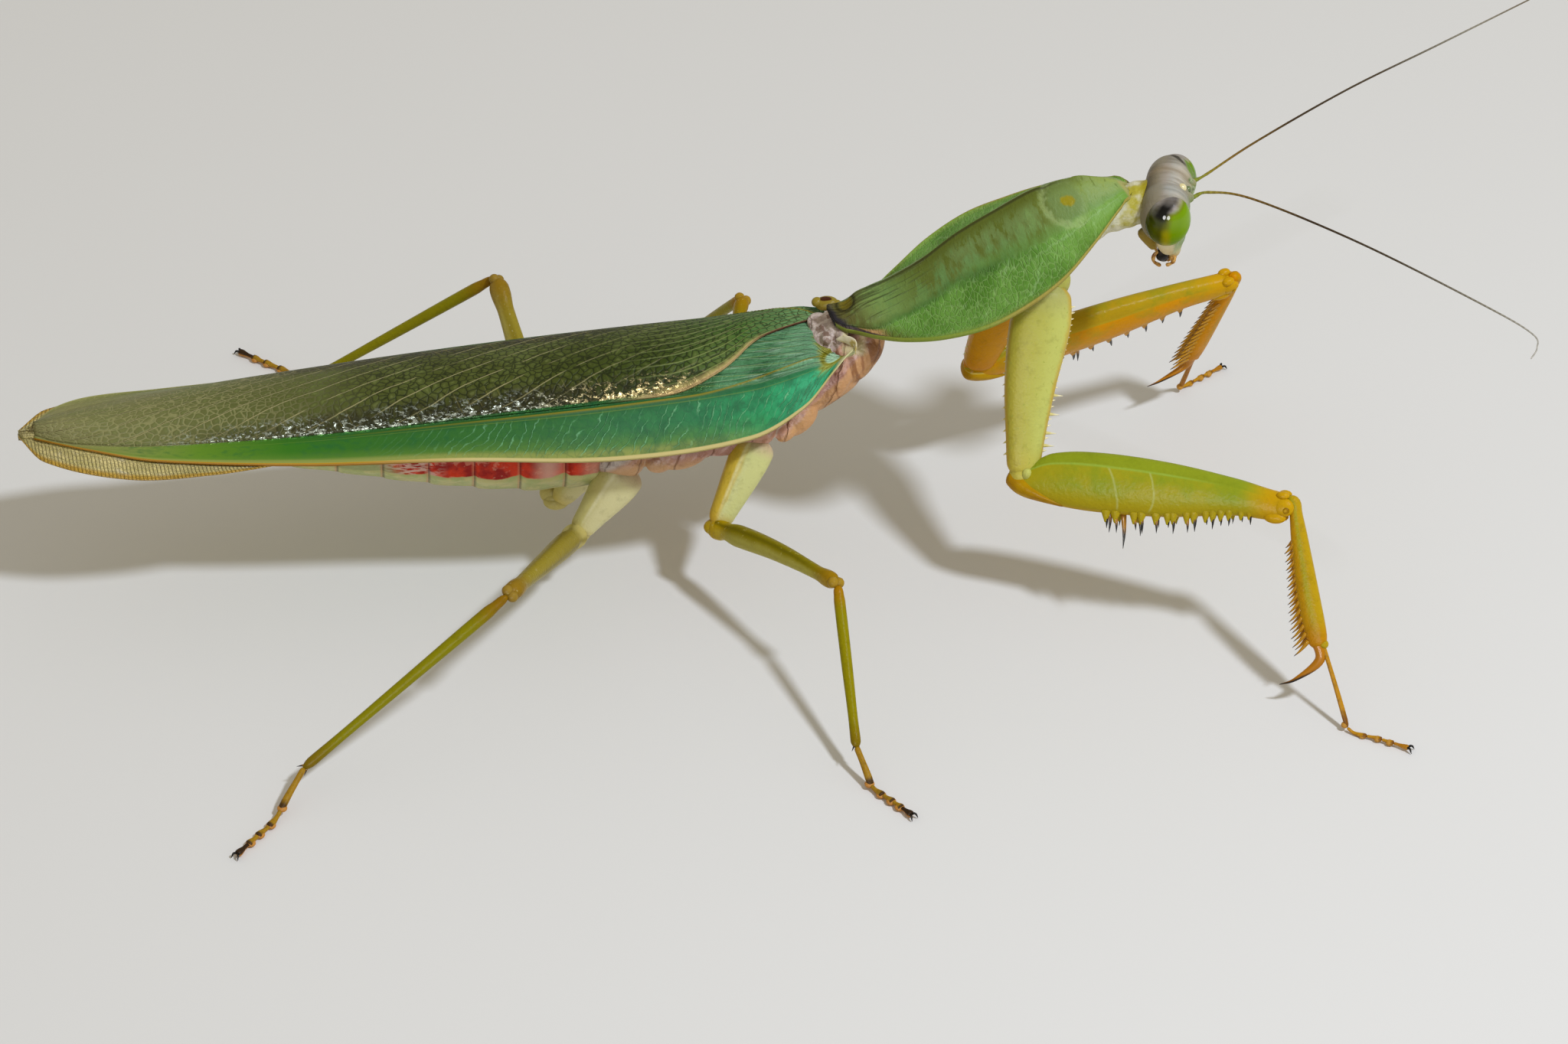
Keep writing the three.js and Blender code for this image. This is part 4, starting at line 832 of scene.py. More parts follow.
def fleshFinish():
    f = Finish("softFlesh", roughness=0.38, bodyLight=0.1, specular=0.2)
    x, y, z = f.local()
    soft = f.noise(0.45, 3)
    folds = f.noise(1.2, 4, None, 0.6)
    streaked = f.noise(1, 3, (x * 0.6 + z * 0.8, y * 0.5, z * 2 - x * 2))
    lower = z - x * 1.08 + folds * 0.8 - 0.4  # 7 along the lower edge of the front plates
    rim = f.rise(lower, 8, 7.5) * f.rise(x, 3, 4.5)
    pleated = f.noise(0.8, 3, (x * 1.5 + z * 0.3, y * 0.7, z * 0.3)) + f.rise(z, 14, 19) * 0.06
    under = f.rise(z + folds * 0.8, 12.1, 11.2) * f.rise(x, 5, 3)
    seam = f.band(x - (z - 13.3) * 0.52 + folds * 0.3, 4.5, 0.14) * f.rise(z, 12, 12.6)
    seams = f.lines(x - (z - 13.3) * 0.3 + folds * 0.5, 2.6, 0.09) * f.rise(x, 13, 12)
    mauve = f.over(
        f.blend(f.rise(soft, 0.36, 0.6), "b98a7e", "cb9a80"), ((streaked, 0.5, 0.66), 0.65, "dcb8b2"),
        ((folds, 0.52, 0.68), 0.6, "8a5434"), (rim, 0.8, "cc9a62"),
        ((pleated, 0.5, 0.62), (x, 6.5, 9), 0.7, "7a4624"), (under, 0.75, "d2a878"), (seam, 0.8, "dcc8b8"),
        (seams, 0.45, "8a5434"))
    back = f.over(
        f.blend(f.rise(folds, 0.42, 0.58), "a8958c", "cbbcb2"),
        ((f.noise(1, 3), 0.56, 0.62), 0.7, "6a4a34"))
    creamFold = f.rise(x + folds * 0.6, 9.3, 9.7) * f.rise(x, 11.2, 10.6)
    creamFold = creamFold * f.rise(z, 18.8, 19.4) * f.rise(y, -0.8, -1.4)
    colour = f.over(
        f.blend(f.rise(z - x * 0.5, 14.8, 15.4) * f.rise(x, 11, 10), mauve, back),
        (creamFold, 0.85, "d8cc9c"))
    front = f.over(
        f.blend(f.rise(soft, 0.4, 0.6), "a07a26", "b58c34"), ((y, -0.8, -1.8), (x, 21.5, 22.5), "b0ae50"))
    neckAt = f.noise(0.6, 3) + (x - 30.4) * 0.07
    colour = f.blend(f.rise(x, 13.5, 16), colour, front)
    neck = f.over(
        f.blend(f.rise(neckAt, 0.46, 0.62), "d4cfb0", "b0a636"),
        ((x + folds * 0.5, 31.1, 31.8), 0.8, "9c8c12"))
    colour = f.blend(f.rise(x, 27.6, 28.4), colour, neck)
    return f.finished(colour, folds * 1.1 + f.noise(3.5, 3) * 0.4 - seams * 0.6, 0.16)


fleshMaterial = fleshFinish()
setPiece("trunkSkin", trunkSkin(), ["neck", "prothorax", "thorax"], [fleshMaterial])
print("trunk skin made")

# Abdomen: overlapping rings, red above and pale green below
abdomen = {
    "course": [(-8.4, 0, 11.5), (-20, 0, 11.8), (-35.6, 0, 12.2)], "rings": 8,
    "stations": [[0, 3.1, 3.5], [0.2, 3.45, 3.85], [0.45, 3.2, 3.1], [0.8, 1.8, 1.6], [1, 1.0, 0.8]],
}


def ringForm(share, angle):
    place = share * abdomen["rings"]
    part = place - math.floor(place)
    lap = 0.04 * ease(part / 0.75) - 0.04 * ease((part - 0.88) / 0.12)
    skirt = bump(math.sin(angle), -0.3 - 0.08 * math.sin(part * math.pi), 0.09)
    return 1 + lap + 0.035 * skirt


def abdomenFinish():
    f = Finish("abdomenRings", roughness=0.24, bodyLight=0.1, coat=0.25, specular=0.06, coatRoughness=0.2)
    share, belly, _ = f.local()
    place = share * float(abdomen["rings"])
    part = f.sum("FRACT", place)
    soft = f.noise(0.8, 4)
    pleats = f.rise(f.noise(1, 3, (share * 30, belly * 12, 1)), 0.44, 0.56)
    red = f.over(
        f.blend(f.rise(soft, 0.35, 0.62), "a01408", "dc3a16"),
        # pale pink patches on the red: painted highlight
        ((f.noise(1.4, 3), 0.56, 0.64), 0.45, "eea48a"), ((belly, 0.3, 0.55), 0.5, "d0603c"),
        # pale pink front rings: pink of their own, made paler by painted highlight
        (f.band(share, 0.17, 0.06), 0.85, "e8b4a4"), ((share, 0.1, 0.04), 0.6, "d8a890"),
        ((share, 0.44, 0.5), pleats, 0.8, "e4c4b4"), ((share + belly * 0.1, 0.56, 0.66), "a6ae78"))
    scallop = part * (1 - part) * 0.34 + 0.2
    green = f.blend(f.rise(soft, 0.4, 0.6), "c8c488", "b2ba7c")
    colour = f.over(
        f.blend(f.rise(belly + (soft - 0.5) * 0.1 - scallop, -0.02, 0.02), red, green),
        ((part, 0.93, 0.98), 0.6, "4a120c"), ((part, 0.07, 0.01), 0.5, "cf8a6a"))
    return f.finished(colour, soft * 0.9 + f.noise(2.5, 3) * 0.5, 0.2)


shape = newShape()
limb(shape, abdomen["course"], (0, 1, 0), abdomen["stations"], 72, 190, cap=0.04, form=ringForm)
setPiece("abdomenRings", shape, ["abdomen"], [abdomenFinish()])


# Legs
legs = {
    "left": {
        "side": 1,
        "fore": [(24.3, 2.3, 25.2), (20.4, 6.5, 11.4), (40.7, 10.5, 15.4), (38.6, 14, 5.8),
                 (35.1, 13.4, 3.5), (38.6, 17.4), (42.3, 19.9)],
        "mid": [(2.9, 2.6, 12.6), (-0.6, 5.3, 6.6), (3.4, 17.7, 11), (-0.8, 25.4, 2.2), None,
                (-2.2, 27.2), (-6.1, 27.5)],
        "hind": [(-7.0, 2.6, 10.5), (-12.4, 1.9, 4.1), (-15.8, 16.7, 14.8), (-31.3, 22, 2.2), None,
                 (-32.8, 26.4), (-36.5, 29.5)],
    },
    "right": {
        "side": -1,
        "fore": [(24.3, -2.3, 25.2), (22, -8.2, 11.6), (40.6, -16.4, 13.9), (42.2, -22.2, 5.4),
                 (39.5, -22.4, 1.9), (44.1, -26.1), (48.1, -28.6)],
        "mid": [(2.9, -2.6, 12.6), (-0.7, -5.5, 6.5), (7.1, -17.3, 9.9), (7.7, -26.9, 2.1), None,
                (8.6, -29.3), (11.1, -32.6)],
        "hind": [(-7.0, -2.6, 10.5), (-11.1, -3.4, 5), (-16.7, -19.4, 12.3), (-32.3, -25.2, 1.9), None,
                 (-34.5, -28.9), (-37.2, -32.3)],
    },
    "footHeight": 0.32,
}


def towards(start, joint, follow):  # the side that a segment bends to
    line = (joint - start).normalized()
    swing = follow - joint
    return (swing - line * swing.dot(line)).normalized()


# One leg finish: colours from back to belly, root and tip tints, specks and fine grain
def legFinish(name, back, belly, tip, root=None, rim=None, speck=None, stripe=None, edge=0.38, shift=0.0):
    f = Finish(name, roughness=0.28, bodyLight=0.1, specular=0.06)
    share, facing, _ = f.local()
    soft = f.noise(0.7, 3) - 0.5
    colour = f.over(
        f.blend(f.rise(facing + soft * 0.4, shift - edge, shift + edge), back, belly),
        ((share, 0.78, 0.98), 0.75, tip))
    if root:
        colour = f.blend(f.rise(share, 0.2, 0.02) * 0.8, colour, root)
    if rim:
        colour = f.blend(f.rise(facing.size() + soft * 0.2, 0.72, 0.92) * 0.8, colour, rim)
    if stripe:
        middle, width, code, strength = stripe
        onStripe = f.band(facing + soft * 0.1, middle, width)
        colour = f.over(colour, (onStripe, (share, 0.95, 0.6), strength, code))
    if speck:
        colour = f.blend(f.rise(f.noise(3.4, 2), 0.66, 0.72) * 0.6, colour, speck)
    colour = f.blend(f.rise(f.noise(1.5, 5, None, 0.65), 0.5, 0.72) * 0.22, colour, "5c5008")
    return f.finished(colour, f.noise(5, 4) * 0.6 + f.noise(1.2, 3) * 0.5, 0.07)


def spineFinish(name, root, tip, turn=0.45):
    f = Finish(name, roughness=0.3, coat=0.15)
    share, dark, _ = f.local()
    darker = f.rise(share + dark * 0.35 + (f.noise(3) - 0.5) * 0.1, turn, turn + 0.3)
    return f.finished(f.blend(darker, root, tip))


def footFinish(name, back, belly, pad, mark, last):
    f = Finish(name, roughness=0.4, bodyLight=0.1)
    share, facing, kind = f.local()
    grain = f.noise(2.5, 3)
    ends = f.rise(share, 0.76, 0.9) * f.rise(facing, 0.25, -0.35)
    colour = f.over(
        f.blend(f.rise(facing + (grain - 0.5) * 0.5, -0.3, 0.5), back, belly), (ends, 0.92, mark),
        ((grain, 0.5, 0.7), 0.3, "4a3512"), ((kind, 1.5, 1.6), pad),
        ((kind, 2.5, 2.6), (facing, 0.3, -0.4), last))
    return f.finished(colour, f.noise(6, 3), 0.05)


blackSpine = spineFinish("darkSpine", "a8741c", "14100c", 0.3)
goldSpine = spineFinish("goldenSpine", "b98410", "17110c", 0.5)
clawHorn = spineFinish("clawHorn", "b8760a", "1a0f08", 0.42)
paleSpine = spineFinish("paleSpine", "d8cc84", "ece4bc", 0.5)
footMaterials = [footFinish("footOlive", "9e7818", "b0742a", "c0843c", "3a2410", "33210f"),
                 footFinish("footAmber", "b98410", "a86c18", "c08a34", "7a4a10", "a8700c")]


# A foot of five short lengths that ends in two claws and lies along the floor
def foot(name, node, ankle, heel, toe, radius, material, shares=(0, 0.42, 0.6, 0.74, 0.86, 1)):
    shape = newShape()
    height = legs["footHeight"]
    heelSpot, toeSpot = Vector((*heel, height)), Vector((*toe, height))
    ahead = (toeSpot - heelSpot).normalized()
    course = Course([ankle, ankle.lerp(heelSpot, 0.6) + Vector((0, 0, 0.08)),
                     heelSpot + Vector((0, 0, 0.04)), heelSpot.lerp(toeSpot, 0.5), toeSpot])
    across = Vector((-ahead.y, ahead.x, 0))
    local = shape.verts.layers.float_vector["local"]
    for number, (start, end) in enumerate(zip(shares, shares[1:])):
        spots = [course.spot(start + (end - start) * step / 3) for step in range(4)]
        thick = radius * 0.95
        waist = thick * (0.6 if number else 0.8)
        made = limb(shape, spots, across,
                    [[0, waist, waist], [0.35, waist, waist], [0.8, thick, thick * 0.9],
                     [1, thick * 0.95, thick * 0.85]], 14, 16, cap=0.08)
        for vert in made:
            vert[local] = (vert[local][0], vert[local][1], 3 if number == 4 else 1)
        if number < 4:
            pad = course.spot(end - 0.025)
            ball(shape, pad - Vector((0, 0, 0.07)) - ahead * 0.05,
                 (radius * 1.25, radius * 1.2, min(0.26, pad.z - 0.07)), None, 14, 10, mark=(0.5, 1, 2))
    for side in (1, -1):
        start = toeSpot - ahead * 0.1 + across * side * 0.06
        bend = start + ahead * 0.26 + across * side * 0.14 + Vector((0, 0, 0.1))
        tip = start + ahead * 0.45 + across * side * 0.24 + Vector((0, 0, -height + 0.08))
        limb(shape, [start, bend, tip], (0, 0, 1), [[0, 0.1], [0.5, 0.08], [1, 0.015]], 10, 12, cap=0.03,
             finish=1, mark=(1, 1, 0))
    for vert in shape.verts:
        vert.co.z = max(vert.co.z, 0.0)
    setPiece(name, shape, [node], [material, blackSpine])


foreLooks = {
    "right": {
        "coxa": legFinish("foreCoxaRight", "b4aa40", "c2c468", "c4b448", root="b0ac6a", rim="c4a030",
                          edge=0.6, speck="a0a848"),
        "back": "909c22", "belly": "a8a020", "line": "9cbc4c", "low": "b09a12", "border": -0.62,
        "tibia": ("b89614", "bc8c0c"), "tibiaStripe": "a4a018",
    },
    "left": {
        "coxa": legFinish("foreCoxaLeft", "c88c04", "c48804", "c07c08", root="a87c0c", rim="c48c08",
                          edge=0.6),
        "back": "b49418", "belly": "d69200", "line": "b0a028", "low": "c48600", "border": -0.7,
        "tibia": ("cc8800", "cc8800"), "tibiaStripe": "b48a04",
    },
}


def femurFinish(name, looks, marks):
    f = Finish(name, roughness=0.26, bodyLight=0.1, specular=0.06)
    share, facing, _ = f.local()
    soft = f.noise(0.5, 3) - 0.5
    grain = f.noise(3, 4) - 0.5
    border = looks["border"] + share * 0.1
    back = f.blend(f.rise(soft + grain * 0.3, -0.1, 0.2) * 0.5, looks["back"], "7f8c1c")
    belly = f.over(
        f.blend(f.rise(soft * 1.2 + grain * 0.2, -0.15, 0.25), looks["belly"], looks["back"]),
        ((facing + soft * 0.6, 0.1, 0.75), 0.8, looks["low"]), ((share, 0.3, 0.08), 0.4, looks["low"]))
    colour = f.over(
        f.blend(f.rise(facing - border + soft * 0.1, -0.08, 0.08), back, belly),
        (f.band(facing - border + soft * 0.06, 0, 0.075), (share, 0.8, 0.55), 0.6, looks["line"]))
    if marks:  # two pale scars across the outer face
        bowed = facing * facing * 0.035
        for middle, lean in ((0.385, 0.035), (0.52, 0.008)):
            line = f.band(share - facing * lean + bowed + soft * 0.02, middle, 0.007)
            line = line * f.rise(facing, -0.6, -0.5) * f.rise(facing, 0.85, 0.65)
            colour = f.blend(line * 0.4, colour, "c6cf86")
    colour = f.over(
        colour, ((facing, 0.8, 0.97), 0.45, "b98410"), ((share, 0.82, 0.94), 0.9, "c8980a"),
        ((share, 0.95, 0.985), (grain + soft, -0.1, 0.2), 0.7, "6a4408"))
    return f.finished(colour, grain * 0.6 + soft * 0.5, 0.08)


def wedgeFinish(name):
    f = Finish(name, roughness=0.26, bodyLight=0.1, specular=0.06)
    share, facing, _ = f.local()
    soft = f.noise(0.7, 3) - 0.5
    colour = f.over(
        f.blend(f.rise(soft + facing * 0.2, -0.2, 0.2), "b88e04", "a87c0a"),
        ((facing + share * 0.3, -0.55, -0.75), 0.7, "8f9a30"),
        (f.band(facing + share * 0.3, -0.4, 0.09), 0.6, "cfc26a"), ((share, 0.75, 1), 0.6, "8a5c08"))
    return f.finished(colour, soft + f.noise(4, 3) * 0.4, 0.06)


# Forelegs: edges are distances from the middle line, where the spines stand
foreShape = {
    "coxa": [[0, 1.7, 1.1], [0.2, 2.25, 1.4], [0.5, 1.95, 1.3], [0.8, 1.45, 1.1], [0.93, 1.25, 1.0],
             [1, 1.05, 0.9]],
    "coxaEdge": [[0, 1.7], [0.2, 2.2], [0.5, 1.9], [0.8, 1.45], [1, 1.2]],
    "teeth": 24, "bigTeeth": (14, 17, 20, 22), "rearTeeth": 12,
    "wedge": [[0, 0.85, 0.75], [0.25, 1.0, 0.95], [0.6, 0.95, 0.6], [1, 0.5, 0.16]],
    "femur": [[0, 0.6, 0.8, 0], [0.06, 0.9, 1.25, 0.15], [0.14, 1.05, 1.9, 0.42], [0.3, 1.15, 2.22, 0.45],
              [0.55, 1.08, 2.05, 0.35], [0.8, 0.84, 1.38, 0.25], [0.93, 0.8, 1.12, -0.1],
              [1, 0.75, 0.95, -0.15]],
    "femurEdge": [[0, 1.2], [0.14, 2.15], [0.3, 2.5], [0.55, 2.25], [0.8, 1.42], [1, 0.8]],
    "kneeLobes": [  # outward, along the femur, to its belly, sizes, segments, mark
        (0.42, -0.4, 0.15, (0.85, 0.42, 0.72), (28, 20), (0.93, 0.5, 0)),
        (0.42, -0.45, -0.72, (0.5, 0.34, 0.3), (24, 16), (0.955, 0.4, 0)),
        (0.42, -0.95, 0.95, (0.85, 0.38, 0.46), (24, 16), (0.95, 0.6, 0)),
        (0.62, -0.1, 0.3, (0.3, 0.26, 0.3), (20, 14), (0.99, 0.6, 0))],
    "outerSpines": [  # share of the femur, length, how dark
        (0.33, 0.62, 1), (0.365, 0.9, 0.6), (0.435, 0.62, 0.4), (0.462, 0.85, 1), (0.515, 0.8, 0.7),
        (0.56, 0.4, 1), (0.58, 0.85, 1), (0.63, 0.8, 0.5), (0.655, 0.78, 1), (0.7, 0.35, 1),
        (0.725, 0.7, 1), (0.755, 0.5, 0.5), (0.785, 0.55, 1), (0.83, 0.32, 1), (0.86, 0.55, 1)],
    "innerSpines": 7, "longer": {"left": 0.45, "right": 0}, "rowApart": 0.42,
    "middleSpines": [  # share of the femur, lean, length, radius, sides, shade
        (0.39, 0.05, 2.6, 0.24, 12, -0.1), (0.34, 0, 1.45, 0.2, 8, 0), (0.45, 0.1, 1.55, 0.2, 8, 0)],
    "tibia": [[0, 0.34, 0.32, 0], [0.05, 0.42, 0.42, 0], [0.12, 0.4, 0.46, 0], [0.3, 0.48, 0.64, -0.05],
              [0.7, 0.56, 0.86, -0.1], [0.92, 0.5, 0.78, 0], [1, 0.42, 0.55, 0]],
    "tibiaEdge": [[0, 0.55], [0.3, 0.7], [0.7, 0.95], [0.92, 0.82], [1, 0.6]],
    "claw": [[0, 0.42, 0.5], [0.3, 0.3, 0.38], [0.65, 0.17, 0.2], [1, 0.02, 0.02]],
    "comb": 13, "footRadius": 0.22, "footShares": (0, 0.58, 0.72, 0.82, 0.9, 1),
}


def foreleg(side):
    sign = legs[side]["side"]
    looks = foreLooks[side]
    root, trochanter, knee, ankle, claw = [Vector(point) for point in legs[side]["fore"][:5]]
    heel, toe = legs[side]["fore"][5:]
    line = (knee - trochanter).normalized()
    belly = towards(trochanter, knee, ankle)
    flank = belly.cross(line).normalized()
    front = Vector((1, 0, 0.15)).normalized()
    title = side.capitalize()
    random.seed(11)

    def edge(name, share):
        return between(foreShape[name], share)[0]

    shape = newShape()
    points = [root, root.lerp(trochanter, 0.5) + Vector((-0.35, 0, 0)), trochanter]
    course = Course(points)
    limb(shape, points, front, foreShape["coxa"], 40, 60, cap=0.07, belly=front, square=2.5,
         form=lambda share, angle: 1 + 0.03 * math.cos(3 * angle))
    for number in range(foreShape["teeth"]):
        share = 0.16 + 0.72 * number / (foreShape["teeth"] - 1)
        base = course.spot(share) + front * (edge("coxaEdge", share) * 0.97 - 0.12)
        droop, length = (-0.3, 1.1) if number in foreShape["bigTeeth"] else (0, 0.6)
        spine(shape, base, front + Vector((0, 0, droop)), length, 0.2, shade=0)
    for number in range(foreShape["rearTeeth"]):
        share = 0.2 + 0.06 * number
        base = course.spot(share) - front * (edge("coxaEdge", share) * 0.96)
        spine(shape, base, -front + Vector((0, 0, -0.4)), 0.3, 0.12, shade=0)
    ball(shape, trochanter + Vector((0, 0, 0.25)), (1.0, 0.85, 1.0), None, 28, 20, mark=(0.98, 0, 0))
    ball(shape, trochanter + front * 0.3 + Vector((0, sign * 0.6, 0.7)), (0.42, 0.36, 0.5), None, 24, 16,
         mark=(0.5, 0.3, 0))
    setPiece("foreCoxa" + title, shape, [f"foreleg_{side}_coxa"], [looks["coxa"], paleSpine])

    shape = newShape()
    # trochanter wedge under the femur's root
    limb(shape, [trochanter - line * 1.0 - belly * 0.3, trochanter + line * 0.9 + belly * 0.75,
                 trochanter + line * 3.6 + belly * 1.75], flank, foreShape["wedge"], 28, 26, cap=0.08,
         belly=belly, finish=2)
    limb(shape, [trochanter - line * 0.7 + belly * 0.3, knee + line * 0.2], flank, foreShape["femur"],
         48, 110, belly=belly, square=2.25)
    turn = Matrix((line, flank, belly)).transposed().to_4x4()
    for lobe in (1, -1):
        for out, ahead, below, sizes, segments, mark in foreShape["kneeLobes"]:
            spot = knee + flank * lobe * out + line * ahead + belly * below
            ball(shape, spot, sizes, turn, *segments, mark=mark)

    def under(share, out):
        return trochanter.lerp(knee, share) + belly * (edge("femurEdge", share) - 0.5) + flank * out

    def rowSpine(share, row, direction, length, radius, shade):  # with skin that tapers onto it
        base = under(share, row * foreShape["rowApart"])
        spine(shape, base, direction, length, radius, line * 0.04, shade=shade)
        limb(shape, [base - belly * 0.4, base + belly * 0.15, base + belly * 0.62], line,
             [[0, 0.5, 0.3], [0.5, 0.27, 0.22], [1, 0.07, 0.07]], 12, 12, mark=(share, 0.85, 0))

    for share, length, dark in foreShape["outerSpines"]:
        lean = random.uniform(0.02, 0.2)
        rowSpine(share, -sign, belly + line * lean, length * 1.05 + 0.42, 0.2, dark - 0.8)
    for number in range(foreShape["innerSpines"]):
        lean = random.uniform(0.02, 0.2)
        longer = foreShape["longer"][side]
        rowSpine(0.37 + 0.07 * number, sign, belly + line * lean, longer + (0.7 if number % 2 else 0.95),
                 0.16 + longer * 0.2, 0.2 + longer)
    for share, lean, length, radius, sides, shade in foreShape["middleSpines"]:
        spine(shape, under(share, 0), belly + line * lean, length, radius, line * 0.03, sides, shade)
    setPiece("foreFemur" + title, shape, [f"foreleg_{side}_femur"],
             [femurFinish("foreFemurCuticle" + title, looks, side == "right"), blackSpine,
              wedgeFinish("trochanter" + title)])

    shape = newShape()
    shin = (ankle - knee).normalized()
    inner = towards(knee, ankle, claw)
    shinFlank = inner.cross(shin).normalized()
    top = knee + line * 0.35 + shin * 0.1
    end = ankle + shin * 0.4
    # its head curls over the knee
    limb(shape, [knee - line * 0.35 - belly * 0.35, knee + line * 0.35 - belly * 0.25, top + shin * 0.9,
                 top.lerp(end, 0.5), end], shinFlank, foreShape["tibia"], 32, 72, belly=inner, square=2.3)
    ball(shape, ankle - inner * 0.45 + shin * 0.1, (0.36, 0.34, 0.36), mark=(0.8, -0.2, 0))
    limb(shape, [ankle - shin * 0.5, ankle + shin * 1.2 + inner * 0.1,
                 ankle.lerp(claw, 0.62) + shin * 0.75, claw],
         shinFlank, foreShape["claw"], 20, 40, cap=0.02, finish=2)
    for number in range(foreShape["comb"]):
        step = number / (foreShape["comb"] - 1)
        share = 0.24 + 0.68 * step
        for out in (1, -1):
            base = top.lerp(end, share + 0.018 * out) + inner * (edge("tibiaEdge", share) - 0.1)
            base = base + shinFlank * out * 0.22
            spine(shape, base, inner + shin * 0.7, 0.95 + 0.6 * step ** 1.3, 0.2, shin * 0.05, shade=-0.5)
    setPiece("foreTibia" + title, shape, [f"foreleg_{side}_tibia"],
             [legFinish("foreTibiaCuticle" + title, *looks["tibia"], "c07a06",
                        stripe=(-0.15, 0.4, looks["tibiaStripe"], 0.7)), goldSpine, clawHorn])
    foot("foreFoot" + title, f"foreleg_{side}_tarsus", ankle - inner * 0.35 - shin * 0.2, heel, toe,
         foreShape["footRadius"], footMaterials[1], foreShape["footShares"])


walkShape = {
    "mid": {"coxa": 1.65, "femur": 1.0, "tibia": 0.42}, "hind": {"coxa": 1.85, "femur": 1.25, "tibia": 0.46},
    "femur": [[0, 0.6, 0.65], [0.06, 0.78, 0.84], [0.1, 0.6, 0.66], [0.2, 0.72, 0.84], [0.55, 0.6, 0.7],
              [0.85, 0.46, 0.53], [0.93, 0.56, 0.64], [1, 0.5, 0.56]],
    "footRadius": 0.3,
}


def walkingLeg(kind, side):
    sizes, looks, node = walkShape[kind], walkLooks[kind], f"{kind}leg_{side}_"
    title = kind.capitalize() + side.capitalize()
    root, trochanter, knee, ankle = [Vector(point) for point in legs[side][kind][:4]]
    heel, toe = legs[side][kind][5:]
    line = (knee - trochanter).normalized()
    shin = (ankle - knee).normalized()
    bend = towards(trochanter, knee, ankle)
    flank = bend.cross(line).normalized()

    shape = newShape()
    limb(shape, [root, trochanter], (1, 0, 0),
         [[0, sizes["coxa"] * 0.95, 1.0], [0.3, sizes["coxa"] * 0.92, 1.2], [0.8, 1.02, 0.95],
          [1, 0.85, 0.8]],
         40, 44, cap=0.14, belly=(1, 0, 0), square=2.4,
         form=lambda share, angle: 1 + 0.05 * bump(math.cos(angle), -0.1, 0.14) * ease((0.9 - share) / 0.2))
    setPiece("coxa" + title, shape, [node + "coxa"], [looks["coxa"]])

    shape = newShape()
    ball(shape, trochanter + line * 0.35, (0.84, 0.84, 0.84), None, 28, 20, mark=(0.02, 0.3, 0))
    ball(shape, trochanter + line * 0.1 - bend * 0.1, (1.0, 0.8, 0.62), None, 28, 20, mark=(0, 0.4, 0))
    limb(shape, [trochanter - line * 0.2, trochanter.lerp(knee, 0.5) - bend * 0.3, knee + line * 0.2],
         flank, walkShape["femur"], 28, 72, belly=bend, square=2.2,
         form=lambda share, angle: sizes["femur"])
    for lobe in (1, -1):
        ball(shape, knee + flank * lobe * 0.28 + line * 0.05, (0.42, 0.42, 0.42), None, 16, 12,
             mark=(0.97, 0.2, 0))
    spine(shape, knee + flank * 0.35 - line * 0.1, line + flank * 0.5, 0.5, 0.12, shade=0)
    setPiece("femur" + title, shape, [node + "femur"], [looks["femur"], paleSpine])

    shape = newShape()
    limb(shape, [knee + shin * 0.15 + line * 0.25, ankle], flank,
         [[0, 0.42, 0.42], [0.05, 0.36, 0.38], [0.1, sizes["tibia"], sizes["tibia"]], [0.5, 0.4, 0.41],
          [0.8, 0.35, 0.35], [0.97, 0.38, 0.38], [1, 0.36, 0.36]], 24, 64, belly=bend)
    for out in (1, -1):
        spine(shape, ankle - shin * 0.25 + flank * out * 0.15, shin + flank * out * 0.7 + bend * 0.3, 0.6,
              0.1, shade=0.3)
    setPiece("tibia" + title, shape, [node + "tibia"], [looks["tibia"], blackSpine])
    foot("foot" + title, node + "tarsus", ankle - shin * 0.1, heel, toe, walkShape["footRadius"],
         footMaterials[0])


walkLooks = {
    "mid": {
        # coxa colours: the coxa's own pale cream, raised further as painted light against the shade under
        # the wings
        "coxa": legFinish("midCoxa", "d2b440", "cccc88", "c8a234", root="c0a088",
                          stripe=(-0.34, 0.14, "e6e0a4", 0.7), edge=0.14, shift=-0.25),
        "femur": legFinish("midFemur", "84780a", "a8a048", "a0740c", root="b89408", speck="b8ac60",
                           stripe=(-0.6, 0.35, "5f560a", 0.7), edge=0.3, shift=-0.1),
        "tibia": legFinish("midTibia", "8c8204", "908808", "7c6008", root="a87008"),
    },
    "hind": {
        # coxa colours: the coxa's own pale cream, raised further as painted light against the shade under
        # the wings
        "coxa": legFinish("hindCoxa", "c8c07c", "d6cf9c", "c8b050", root="ccb89c",
                          stripe=(-0.34, 0.14, "e4deb4", 0.7), edge=0.14, shift=-0.25),
        "femur": legFinish("hindFemur", "94842a", "aca050", "8a6410", root="ccbe78", speck="b4a870",
                           stripe=(-0.6, 0.35, "70620f", 0.6), edge=0.3, shift=-0.1),
        "tibia": legFinish("hindTibia", "868008", "8a840c", "7a5c10", root="8a5c0c"),
    },
}
for side in ("left", "right"):
    foreleg(side)
    walkingLeg("mid", side)
    walkingLeg("hind", side)
print("legs made")


